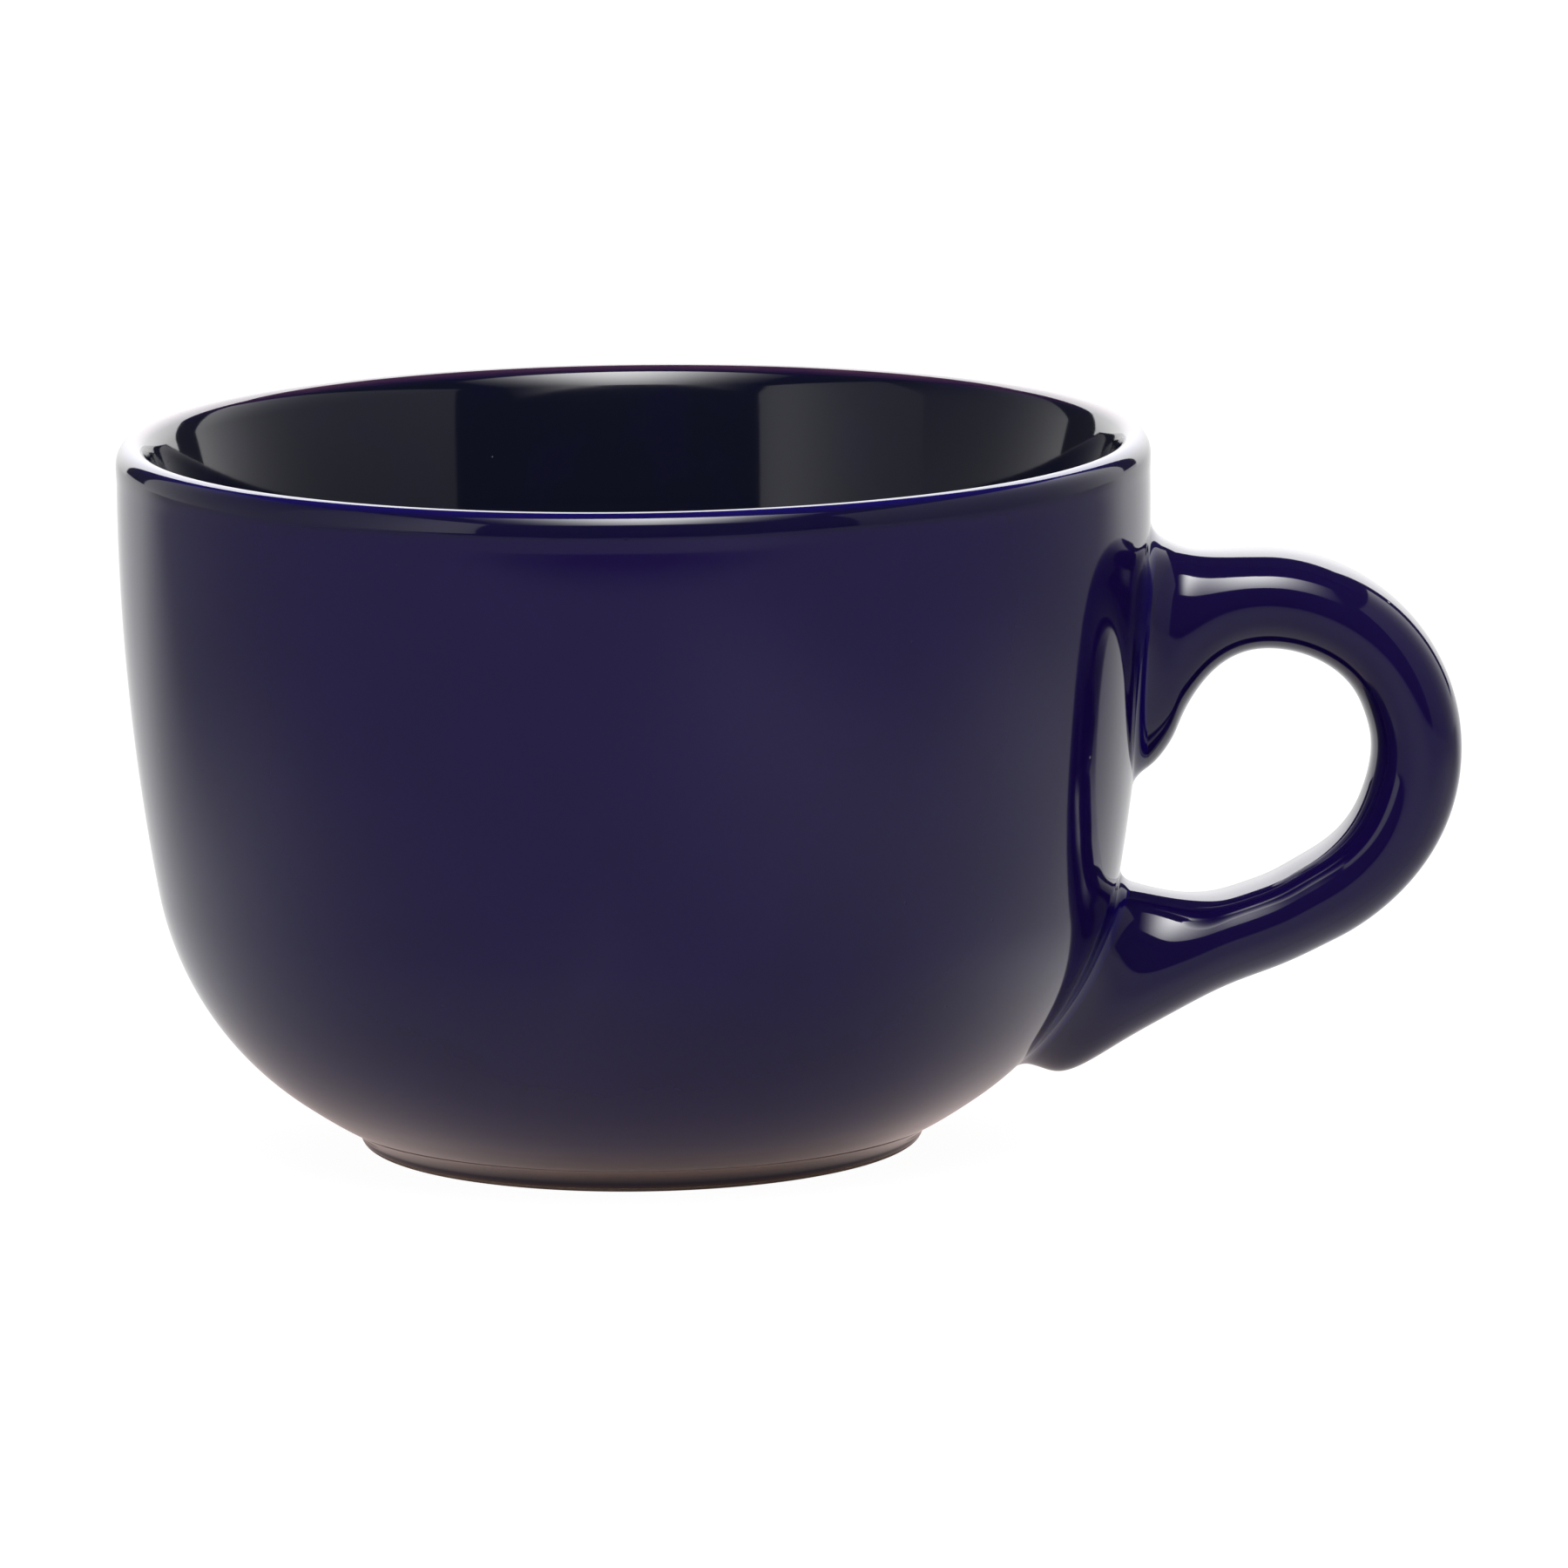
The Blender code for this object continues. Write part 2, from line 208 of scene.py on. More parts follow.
def stain(mesh: Mesh, name: str, share: float) -> None:
    """Give a whole mesh the same share of one of the glaze's tints."""
    layer = mesh.attributes.new(name, "FLOAT", "POINT")
    layer.data.foreach_set("value", [share] * len(mesh.vertices))


def link_object(name: str, data: bpy.types.ID) -> Item:
    """Put a mesh or a camera into the scene as an object at the origin."""
    item = bpy.data.objects.new(name, data)
    bpy.context.scene.collection.objects.link(item)
    return item


def grow(name: str, line: list[Triple], layers: dict[str, Any], tree: Tree,
         sizes: dict[str, Any]) -> Item:
    """Run a node tree over a line of points and keep what it makes as a plain mesh piece.

    Args:
        name: The piece's name.
        line: The line's points in order.
        layers: Numbers or vectors that the points carry, by the attribute's name.
        tree: The tree, which takes the line as its geometry.
        sizes: Values of the tree's other inputs, by their names.

    Returns:
        An object with the tree's result as its own mesh.
    """
    mesh = bpy.data.meshes.new(name + "_line")
    mesh.from_pydata(line, [(i, i + 1) for i in range(len(line) - 1)], [])
    for layer, values in layers.items():
        kind, key = ("FLOAT_VECTOR", "vector") if np.ndim(values) == 2 else ("FLOAT", "value")
        mesh.attributes.new(layer, kind, "POINT").data.foreach_set(key, np.ravel(values))
    blank = link_object(name + "_blank", mesh)
    modifier = blank.modifiers.new("shape", "NODES")
    modifier.node_group = tree
    for item in tree.interface.items_tree:
        if item.name in sizes:
            modifier[item.identifier] = sizes[item.name]
    graph = bpy.context.evaluated_depsgraph_get()
    result = bpy.data.meshes.new_from_object(
        blank.evaluated_get(graph), preserve_all_data_layers=True, depsgraph=graph)
    bpy.data.objects.remove(blank, do_unlink=True)
    result.name = name
    return link_object(name, result)


def face_outwards(mesh: Mesh) -> None:
    """Close any open ends of a mesh and turn its faces outwards.

    Args:
        mesh: The mesh to put right.
    """
    work = bmesh.new()
    work.from_mesh(mesh)
    open_edges = [edge for edge in work.edges if edge.is_boundary]
    if open_edges:
        bmesh.ops.holes_fill(work, edges=open_edges)
    bmesh.ops.recalc_face_normals(work, faces=work.faces)
    work.to_mesh(mesh)
    work.free()


def new_tree(name: str, sizes: dict[str, str]) -> tuple[Tree, bpy.types.NodeOutputs]:
    """Make an empty Geometry Nodes tree with named inputs.

    Args:
        name: The tree's name.
        sizes: The socket type of each input after the geometry, by the input's name.

    Returns:
        The tree, and the sockets that give its inputs.
    """
    tree = bpy.data.node_groups.new(name, "GeometryNodeTree")
    for way in ("INPUT", "OUTPUT"):
        tree.interface.new_socket(name="Geometry", in_out=way, socket_type="NodeSocketGeometry")
    for size, kind in sizes.items():
        tree.interface.new_socket(name=size, in_out="INPUT", socket_type=kind)
    return tree, add_node(tree, "NodeGroupInput").outputs


class Wrap(NamedTuple):
    """A grid laid round a line by nodes, with a row for each of the line's points.

    The sockets give each point's row, column and turn round the line in radians, and what the line carries
    at that row, by the attribute's name.
    """

    mesh: Socket
    row: Socket
    column: Socket
    turn: Socket
    carried: dict[str, Socket]


def wrap_line(tree: Tree, line: Socket, around: Socket, kinds: dict[str, str]) -> Wrap:
    """Add nodes for a grid round a line, its points not yet in place.

    Args:
        tree: The tree that takes the nodes.
        line: The socket with the line.
        around: The socket with the number of columns in a full turn.
        kinds: The data type of each attribute to take from the line, by its name.

    Returns:
        The grid's sockets.
    """
    rows = feed(tree, "GeometryNodeAttributeDomainSize", {"Geometry": line}, "Point Count")
    columns = compute(tree, "ADD", around, 1, kind=Maths.WHOLE)
    mesh = feed(tree, "GeometryNodeMeshGrid", {"Vertices X": columns, "Vertices Y": rows}, "Mesh")
    index = feed(tree, "GeometryNodeInputIndex")
    row = compute(tree, "MODULO", index, rows, kind=Maths.WHOLE)
    column = compute(tree, "DIVIDE_FLOOR", index, rows, kind=Maths.WHOLE)
    turn = compute(tree, "MULTIPLY", compute(tree, "DIVIDE", column, around), math.tau)
    carried = {}
    for name, kind in kinds.items():
        value = feed(tree, "GeometryNodeInputNamedAttribute", {"Name": name}, "Attribute", data_type=kind)
        wanted = {"Geometry": line, "Value": value, "Index": row}
        carried[name] = feed(tree, "GeometryNodeSampleIndex", wanted, data_type=kind)
    return Wrap(mesh, row, column, turn, carried)


def store(tree: Tree, mesh: Socket, name: str, value: Socket, kind: str) -> Socket:
    """Add a node that keeps a value on a mesh's points under a name, and return the mesh."""
    return feed(tree, "GeometryNodeStoreNamedAttribute", {"Geometry": mesh, "Name": name, "Value": value},
                data_type=kind, domain="POINT")


def close_seam(tree: Tree, mesh: Socket) -> Socket:
    """Add a node that joins the points of a mesh which lie on each other, and return the mesh."""
    return feed(tree, "GeometryNodeMergeByDistance", {"Geometry": mesh, "Distance": MERGE_GAP})


def coat(tree: Tree, mesh: Socket, material: Material) -> Socket:
    """Add nodes that shade a mesh smooth and put a material on all of it, and return the mesh."""
    smooth = feed(tree, "GeometryNodeSetShadeSmooth", {"Geometry": mesh})
    real = feed(tree, "GeometryNodeRealizeInstances", {"Geometry": smooth})
    return feed(tree, "GeometryNodeSetMaterial", {"Geometry": real, "Material": material})


# Shapes in the turning plane, where a point is (distance from the bowl's axis, height)


def along(point: Point, angle: float, distance: float) -> Point:
    """Return the point that lies a distance away at an angle above level, in degrees."""
    turn = math.radians(angle)
    return point[0] + distance * math.cos(turn), point[1] + distance * math.sin(turn)


def arc(centre: Point, radius: float, start: float, stop: float, step: float) -> list[Point]:
    """List points on an arc, both ends included.

    Args:
        centre: The arc's centre.
        radius: The arc's radius.
        start: Direction of the first point from the centre, in degrees above level.
        stop: Direction of the last point.
        step: The widest gap between points, in metres along the arc.

    Returns:
        The points in order.
    """
    count = max(2, math.ceil(math.radians(abs(stop - start)) * radius / step))
    return [along(centre, start + (stop - start) * i / count, radius) for i in range(count + 1)]


def straight(start: Point, stop: Point, count: int) -> list[Point]:
    """List evenly spaced points between two ends, both included."""
    shares = [i / count for i in range(count + 1)]
    return [(blend(start[0], stop[0], share), blend(start[1], stop[1], share)) for share in shares]


def angle_of(centre: Point, point: Point) -> float:
    """Return the direction from a centre to a point, in degrees above level."""
    return math.degrees(math.atan2(point[1] - centre[1], point[0] - centre[0]))


def bezier(points: list[Point], t: float) -> Point:
    """Return the point at t on a cubic curve given by its four control points."""
    weights = ((1 - t) ** 3, 3 * t * (1 - t) ** 2, 3 * t * t * (1 - t), t ** 3)
    return sum(w * p[0] for w, p in zip(weights, points)), sum(w * p[1] for w, p in zip(weights, points))


def blend(first: float, second: float, share: float) -> float:
    """Return the value that lies a share of the way from the first to the second."""
    return first + (second - first) * share


def ease(value: float, low: float, high: float) -> float:
    """Return how far a value has come from low to high, from 0 to 1, with soft ends."""
    share = min(1.0, max(0.0, (value - low) / (high - low)))
    return share * share * (3 - 2 * share)


def middle_of(first: Point, second: Point) -> Point:
    """Return the point halfway between two others."""
    return (first[0] + second[0]) / 2, (first[1] + second[1]) / 2


def runs(line: np.ndarray) -> np.ndarray:
    """Return how far along a line of points each of them lies."""
    return np.concatenate([[0.0], np.cumsum(np.linalg.norm(np.diff(line, axis=0), axis=1))])


def away_from(ring: np.ndarray, others: np.ndarray) -> np.ndarray:
    """Find the directions that are square to a closed ring and to other directions.

    Args:
        ring: The ring's points in order.
        others: The other direction at each point.

    Returns:
        A direction of length one at each point, on the side away from the ring's middle.
    """
    way = np.cross(np.roll(ring, -1, axis=0) - np.roll(ring, 1, axis=0), others)
    way /= np.linalg.norm(way, axis=1)[:, None]
    return -way if np.sum((ring - ring.mean(axis=0)) * way) < 0 else way


def soften(edge: list[Point], spread: float) -> list[Point]:
    """Round the bends of an edge by averaging it along its own run, with both ends kept.

    Args:
        edge: The edge's points in order.
        spread: How far along the edge the average reaches.

    Returns:
        As many points as were given.
    """
    line = np.array(edge)
    run = runs(line)
    even = np.arange(0.0, run[-1], spread / SOFT_STEPS)
    points = np.stack([np.interp(even, run, line[:, k]) for k in (0, 1)], axis=1)
    rounded = []
    for place, here in zip(line, run):
        weight = np.exp(-((even - here) / spread) ** 2 / 2)
        mean = points.T @ weight / weight.sum()
        share = ease(min(here, run[-1] - here), 0.0, SOFT_ENDS * spread)
        rounded.append(tuple(place + (mean - place) * share))
    return rounded


# Finishes


@dataclass(frozen=True)
class CobaltGlaze:
    """Cobalt-blue stoneware glaze, dipped and fired to a gloss.

    To the eye it is a deep, wet-looking blue with sharp reflections. It runs thin and bright over edges,
    breaks to brown over the clay at the foot, and holds small pits. Painted shade darkens it inside the bowl,
    on the lip's outer roll and a little over the handle. Near the foot the brown also paints a highlight on
    the fillet, and a band left dark blue on the foot's side is painted shade for the dark table mirrored
    there.
    """

    name: str = "cobalt_stoneware_glaze"
    body: str = "#13073A"
    cloud: str = "#180A44"
    edge: str = "#0F0868"
    # Painted shade: the darker blue laid inside the bowl, on the lip's outer roll and over the handle.
    painted_shade: str = "#0C0F22"
    # Brown where the glaze breaks over the clay; near the foot it also paints a highlight on the fillet.
    clay_and_sheen: str = "#73493B"
    roughness: float = 0.035
    ior: float = 1.52
    cloud_size: float = 9.0 * MM
    peel_size: float = 2.4 * MM
    peel_depth: float = 0.0022 * MM
    pit_spacing: float = 5.5 * MM
    pit_radius: float = 0.22 * MM
    pit_depth: float = 0.03 * MM
    pit_floor: float = 0.4
    cloud_span: Point = (0.3, 0.7)
    raggedness: Point = (0.75, 1.25)
    dullest: float = 2.2

    def material(self) -> Material:
        """Make the glaze.

        Returns:
            A material that reads Object coordinates and the pieces' own attributes for thin edges, painted
            shade, and wear with a painted highlight.
        """
        material, tree = new_material(self.name)
        shader = tree.nodes["Principled BSDF"].inputs
        shader["IOR"].default_value = self.ior
        place = feed(tree, "ShaderNodeTexCoord", output="Object")
        clouds = feed(tree, "ShaderNodeTexNoise",
                      {"Vector": place, "Scale": 1 / self.cloud_size, "Detail": 4.0, "Roughness": 0.6}, "Fac")
        colour = mix_colour(tree, clouds, linear(self.body), linear(self.cloud))
        ragged = map_range(tree, clouds, self.raggedness, self.cloud_span)
        # One tint is painted shade; another is the clay's brown, which near the foot also paints a highlight.
        for name, tint in (("painted_shade", self.painted_shade), ("edge", self.edge), ("wear_and_sheen", self.clay_and_sheen)):
            amount = feed(tree, "ShaderNodeAttribute", output="Fac", attribute_name=name)
            share = compute(tree, "MULTIPLY", amount, ragged, use_clamp=True)
            colour = mix_colour(tree, share, colour, linear(tint))
        tree.links.new(colour, shader["Base Color"])

        dullness = map_range(tree, clouds, (self.roughness, self.dullest * self.roughness))
        tree.links.new(dullness, shader["Roughness"])

        peel = feed(tree, "ShaderNodeTexNoise",
                    {"Vector": place, "Scale": 1 / self.peel_size, "Detail": 1.0}, "Fac")
        peel_bump = feed(tree, "ShaderNodeBump",
                         {"Height": peel, "Distance": self.peel_depth, "Strength": 1.0})
        cells = feed(tree, "ShaderNodeTexVoronoi",
                     {"Vector": place, "Scale": 1 / self.pit_spacing}, "Distance")
        radius = self.pit_radius / self.pit_spacing
        pits = map_range(tree, cells, (0.0, 1.0), (self.pit_floor * radius, radius),
                         interpolation_type="SMOOTHSTEP")
        pit_bump = feed(tree, "ShaderNodeBump", {"Height": pits, "Distance": self.pit_depth, "Strength": 1.0,
                                                 "Normal": peel_bump})
        tree.links.new(pit_bump, shader["Normal"])
        return material


@dataclass(frozen=True)
class BareStoneware:
    """Fired stoneware wiped clean of glaze, where the foot stood on the kiln shelf.

    To the eye it is a matt, sandy, pinkish tan with fine darker grog.
    """

    name: str = "bare_stoneware"
    clay: str = "#D9BFB0"
    grog: str = "#A98A7A"
    roughness: float = 0.9
    grog_size: float = 0.6 * MM
    grit_depth: float = 0.03 * MM

    def material(self) -> Material:
        """Make the bare clay.

        Returns:
            A material that reads Object coordinates.
        """
        material, tree = new_material(self.name)
        shader = tree.nodes["Principled BSDF"].inputs
        shader["Roughness"].default_value = self.roughness
        place = feed(tree, "ShaderNodeTexCoord", output="Object")
        grit = feed(tree, "ShaderNodeTexNoise",
                    {"Vector": place, "Scale": 1 / self.grog_size, "Detail": 5.0, "Roughness": 0.7}, "Fac")
        bump = feed(tree, "ShaderNodeBump", {"Height": grit, "Distance": self.grit_depth, "Strength": 1.0})
        tree.links.new(mix_colour(tree, grit, linear(self.clay), linear(self.grog)), shader["Base Color"])
        tree.links.new(bump, shader["Normal"])
        return material


# Bowl


class OutlinePoint(NamedTuple):
    """A point of the bowl's half section, with how the glaze lies there.

    The shares say how far it runs thin over an edge, how much painted shade darkens it, and how far it wears
    through to the clay, which near the foot also paints a highlight.
    """

    radius: float
    height: float
    edge: float = 0.0
    painted_shade: float = 0.0
    wear_and_sheen: float = 0.0


@dataclass
class Bowl:
    """The turned bowl, from its floor over the lip and down to its foot ring."""

    glaze: Material
    clay: Material
    axis: float
    height: float = 83.6 * MM
    rim_radius: float = 60.5 * MM
    widest_drop: float = 6.4 * MM
    wall_arc: float = 271.0 * MM
    belly_arc: float = 37.3 * MM
    wall: float = 8.1 * MM
    crest_inset: float = 1.7 * MM
    lip_round: float = 2.5 * MM
    lip_inner_arc: float = 1.8 * MM
    bevel_tilt: float = 37.0
    bevel_arc: float = 6.0 * MM
    mouth_tilt: float = 20.2
    lip_bead: float = 0.09 * MM
    bead_drop: float = 2.1 * MM
    foot_radius: float = 33.2 * MM
    foot_corner: float = 2.7 * MM
    belly_overhang: float = 1.1 * MM
    belly_sag: float = 0.4 * MM
    sag_radius: float = 41.0 * MM
    sag_angle: float = -30.0
    foot_fillet: float = 2.8 * MM
    fillet_pull: float = 0.42
    foot_round: float = 1.0 * MM
    inner_round: float = 0.9 * MM
    foot_width: float = 5.6 * MM
    recess: float = 2.2 * MM
    bare_height: float = 0.5 * MM
    edge_reach: float = 0.9 * MM
    edge_inside: float = 0.2
    edge_outside: float = 0.6
    lip_worn: float = 0.34
    # Painted shade fills the inside up to this far below the crest.
    inside_shade_reach: float = 1.2 * MM
    # Painted shade on the lip's outer roll, between these heights about the lip's foot.
    band_share: float = 0.6
    band_below: float = 1.0 * MM
    band_above: float = 0.3 * MM
    # The clay's brown near the foot: partly wear, partly a painted highlight on the fillet.
    belly_wear_and_sheen: float = 0.87
    wear_and_sheen_reaches: Point = (4.5 * MM, 1.2 * MM)
    # A band on the foot's side kept dark blue as painted shade, for the dark table mirrored there.
    side_shade_band: float = 0.9
    side_low: Point = (0.5 * MM, 0.9 * MM)
    side_high: Point = (1.3 * MM, 2.4 * MM)
    wave_size: float = 26.0 * MM
    wave_depth: float = 0.05 * MM
    wave_seed: float = 3.0
    step: float = 1.1 * MM
    fine_step: float = 0.16 * MM
    floor_rows: int = 12
    fillet_rows: int = 16
    face_rows: int = 6
    recess_rows: int = 16
    sides: int = 224

    def __post_init__(self) -> None:
        """Work out the centres of the wall's and the belly's arcs."""
        self.wall_centre = (self.rim_radius - self.wall_arc, self.height - self.widest_drop)
        belly_end = (self.foot_radius + self.belly_overhang, self.foot_corner)
        reach = math.dist(self.wall_centre, belly_end)
        far = self.wall_arc - self.belly_arc
        share = (far ** 2 - self.belly_arc ** 2 + reach ** 2) / (2 * reach)
        lean = angle_of(self.wall_centre, belly_end)
        rise = math.sqrt(far ** 2 - share ** 2)
        self.belly_centre = along(along(self.wall_centre, lean, share), lean + 90.0, rise)
        self.join_angle = angle_of(self.wall_centre, self.belly_centre)

    def radius_at(self, height: float) -> float:
        """Work out the outer radius at a height.

        Args:
            height: A height between the foot and the lip.

        Returns:
            The radius there.
        """
        join = along(self.belly_centre, self.join_angle, self.belly_arc)[1]
        centre, arc_radius = self.wall_centre, self.wall_arc
        if height < join:
            centre, arc_radius = self.belly_centre, self.belly_arc
        return centre[0] + math.sqrt(arc_radius ** 2 - (height - centre[1]) ** 2)

    def belly_height(self, radius: float) -> float:
        """Return the height of the belly's underside at a radius, with its sag towards the foot."""
        plain = self.belly_centre[1] - math.sqrt(self.belly_arc ** 2 - (radius - self.belly_centre[0]) ** 2)
        return plain - self.belly_sag * (1.0 - ease(radius, self.foot_radius, self.sag_radius))

    def outside(self, points: np.ndarray) -> tuple[np.ndarray, np.ndarray]:
        """Measure points against the bowl's outside.

        Args:
            points: Rows of x, y and z.

        Returns:
            The distance of each point from the outside, negative within the wall, and the direction
            that points straight out of the bowl there.
        """
        flat = points[:, :2] - (self.axis, 0.0)
        radius = np.linalg.norm(flat, axis=1)
        section = np.stack([radius, points[:, 2]], axis=1)
        from_wall = section - self.wall_centre
        lean = np.degrees(np.arctan2(from_wall[:, 1], from_wall[:, 0]))
        on_wall = (lean > self.join_angle)[:, None]
        offset = section - np.where(on_wall, self.wall_centre, self.belly_centre)
        length = np.linalg.norm(offset, axis=1)
        distance = length - np.where(on_wall[:, 0], self.wall_arc, self.belly_arc)
        offset /= length[:, None]
        normal = np.concatenate([flat / radius[:, None] * offset[:, :1], offset[:, 1:]], axis=1)
        return distance, normal

    def inner_half(self) -> list[Point]:
        """List the inside from the middle of the floor, up the wall and the flared mouth, to the crest.

        Returns:
            The points in order.
        """
        lip_height = self.height - self.lip_round
        lip_centre = (self.radius_at(lip_height) - self.crest_inset, self.height - self.lip_inner_arc)
        bevel_top = along(lip_centre, 180.0 - self.bevel_tilt, self.lip_inner_arc)
        bevel_centre = along(bevel_top, -self.bevel_tilt, self.bevel_arc)
        mouth_top = along(bevel_centre, 180.0 - self.mouth_tilt, self.bevel_arc)
        wall_arc = self.wall_arc - self.wall
        offset = (mouth_top[0] - self.wall_centre[0], mouth_top[1] - self.wall_centre[1])
        lean = math.radians(self.mouth_tilt)
        reach = offset[0] * math.cos(lean) - offset[1] * math.sin(lean)
        mouth_arc = (offset[0] ** 2 + offset[1] ** 2 - wall_arc ** 2) / (2 * (wall_arc - reach))
        mouth_centre = along(mouth_top, -self.mouth_tilt, mouth_arc)
        wall_angle = angle_of(self.wall_centre, mouth_centre)
        belly = arc(self.belly_centre, self.belly_arc - self.wall, -90.0, self.join_angle, self.step)
        wall = arc(self.wall_centre, wall_arc, self.join_angle, wall_angle, self.step)
        mouth = arc(mouth_centre, mouth_arc, 180.0 + wall_angle, 180.0 - self.mouth_tilt, self.step)
        bevel = arc(bevel_centre, self.bevel_arc, 180.0 - self.mouth_tilt, 180.0 - self.bevel_tilt,
                    self.fine_step)
        lip = arc(lip_centre, self.lip_inner_arc, 180.0 - self.bevel_tilt, 90.0, self.fine_step)
        floor = straight((0.0, belly[0][1]), belly[0], self.floor_rows)
        return floor + belly[1:] + wall[1:] + mouth[1:] + bevel[1:] + lip[1:]

    def outer_half(self, crest: Point) -> list[Point]:
        """List the outside from just past the crest down to the top of the foot's fillet.

        Args:
            crest: The highest point of the lip.

        Returns:
            The points in order.
        """
        lip_height = self.height - self.lip_round
        top_angle = math.degrees(math.asin((lip_height - self.wall_centre[1]) / self.wall_arc))
        half = self.radius_at(lip_height) + self.lip_bead - crest[0]
        turn = arc((0.0, 0.0), self.lip_round, 90.0, 0.0, self.fine_step)
        lip = [(crest[0] + half * x / self.lip_round, lip_height + y) for x, y in turn]
        bead_low = lip_height - self.bead_drop
        bead_angle = math.degrees(math.asin((bead_low - self.wall_centre[1]) / self.wall_arc))
        bead_arc = arc(self.wall_centre, self.wall_arc, top_angle, bead_angle, self.fine_step)
        bead = [(radius + self.lip_bead * ease(height, bead_low, lip_height), height)
                for radius, height in bead_arc]
        wall = arc(self.wall_centre, self.wall_arc, bead_angle, self.join_angle, self.step)
        fillet_radius = self.foot_radius + self.foot_fillet
        foot_angle = -math.degrees(math.acos((fillet_radius - self.belly_centre[0]) / self.belly_arc))
        belly = arc(self.belly_centre, self.belly_arc, self.join_angle, self.sag_angle, self.step)
        under = arc(self.belly_centre, self.belly_arc, self.sag_angle, foot_angle, self.step)
        belly += [(radius, self.belly_height(radius)) for radius, _ in under[1:]]
        return lip[1:] + bead[1:] + wall[1:] + belly[1:]

    def foot_half(self, fillet_start: Point) -> list[Point]:
        """List the foot from its fillet under the belly, round its standing face, to the recess's middle.

        Args:
            fillet_start: The last point of the belly.

        Returns:
            The points in order.
        """
        corner = (self.foot_radius, self.belly_height(self.foot_radius))
        pull = self.fillet_pull
        controls = [fillet_start,
                    (blend(fillet_start[0], corner[0], pull), blend(fillet_start[1], corner[1], pull)),
                    (self.foot_radius, blend(self.foot_round, corner[1], pull)),
                    (self.foot_radius, self.foot_round)]
        fillet = [bezier(controls, i / self.fillet_rows) for i in range(1, self.fillet_rows)]
        inner = self.foot_radius - self.foot_width
        turn_in = self.foot_radius - self.foot_round
        outer_edge = arc((turn_in, self.foot_round), self.foot_round, 0.0, -90.0, self.fine_step)
        inner_edge = arc((inner + self.inner_round, self.inner_round), self.inner_round, -90.0, -180.0,
                         self.fine_step)
        face = straight(outer_edge[-1], inner_edge[0], self.face_rows)
        hollow = (inner - self.inner_round, self.recess - self.inner_round)
        hollow_edge = arc(hollow, self.inner_round, 0.0, 90.0, self.fine_step)
        under = straight(hollow_edge[-1], (0.0, self.recess), self.recess_rows)
        return fillet + outer_edge + face[1:-1] + inner_edge + hollow_edge + under[1:]

    def outline(self) -> list[OutlinePoint]:
        """List the whole half section with the glaze's tints along it, painted shade and a painted highlight
        among them.

        Returns:
            The points from the middle of the floor, over the lip, to the middle of the recess.
        """
        inside = self.inner_half()
        crest = inside[-1]
        lip_foot = self.height - self.lip_round
        outside = self.outer_half(crest)
        foot = self.foot_half(outside[-1])
        rows = []
        for radius, height in inside:
            edge = ease(height, crest[1] - self.edge_reach, crest[1])
            # Painted shade over the inside, fading out near the crest.
            painted_shade = 1.0 - ease(height, crest[1] - self.inside_shade_reach, crest[1])
            rows.append(OutlinePoint(radius, height, self.edge_inside * edge, painted_shade, self.lip_worn * edge))
        for radius, height in outside:
            edge = ease(height, crest[1] - self.edge_reach, crest[1])
            # Painted shade on the lip's outer roll.
            band = ease(height, lip_foot - self.band_below, lip_foot + self.band_above) * (1.0 - edge)
            # Near the foot the clay's brown is partly wear and partly a painted highlight on the fillet.
            covered = [ease(height, self.foot_corner, self.foot_corner + far) for far in self.wear_and_sheen_reaches]
            wear_and_sheen = 1.0 - sum(covered) / len(covered)
            rows.append(OutlinePoint(radius, height, self.edge_outside * edge, self.band_share * band,
                                     self.belly_wear_and_sheen * wear_and_sheen))
        for radius, height in foot:
            # On the foot's side a band is kept dark blue as painted shade; elsewhere on the foot the clay's
            # brown shows.
            on_side = ease(height, *self.side_low) * (1.0 - ease(height, *self.side_high))
            rows.append(OutlinePoint(radius, height, wear_and_sheen=1.0 - self.side_shade_band * on_side))
        return rows

    def lathe(self) -> Tree:
        """Make the node tree that turns an outline about the bowl's axis.

        Returns:
            The tree.
        """
        tree, given = new_tree("turned_bowl", {
            "Sides": "NodeSocketInt", "Axis": "NodeSocketVector", "Wave Size": "NodeSocketFloat",
            "Wave Depth": "NodeSocketFloat", "Bare Height": "NodeSocketFloat"})
        wrap = wrap_line(tree, given["Geometry"], given["Sides"],
                         {"position": "FLOAT_VECTOR", **dict.fromkeys(TINTS, "FLOAT")})
        turned = feed(tree, "ShaderNodeVectorRotate",
                      {"Vector": wrap.carried["position"], "Angle": wrap.turn}, rotation_type="Z_AXIS")
        shell = feed(tree, "GeometryNodeSetPosition",
                     {"Geometry": wrap.mesh, "Position": turned, "Offset": given["Axis"]})
        for name in TINTS:
            shell = store(tree, shell, name, wrap.carried[name], "FLOAT")
        position = feed(tree, "GeometryNodeInputPosition")
        scale = compute(tree, "DIVIDE", 1.0, given["Wave Size"])
        wave = feed(tree, "ShaderNodeTexNoise",
                    {"Vector": position, "W": self.wave_seed, "Scale": scale, "Detail": 1.0}, "Fac",
                    noise_dimensions="4D")
        depth = compute(tree, "MULTIPLY", compute(tree, "SUBTRACT", wave, 0.5), given["Wave Depth"])
        push = scale_vector(tree, feed(tree, "GeometryNodeInputNormal"), depth)
        wavy = feed(tree, "GeometryNodeSetPosition", {"Geometry": close_seam(tree, shell), "Offset": push})
        height = feed(tree, "ShaderNodeSeparateXYZ", {"Vector": position}, "Z")
        bare = feed(tree, "FunctionNodeCompare", {0: height, 1: given["Bare Height"]}, data_type="FLOAT",
                    operation="LESS_THAN")
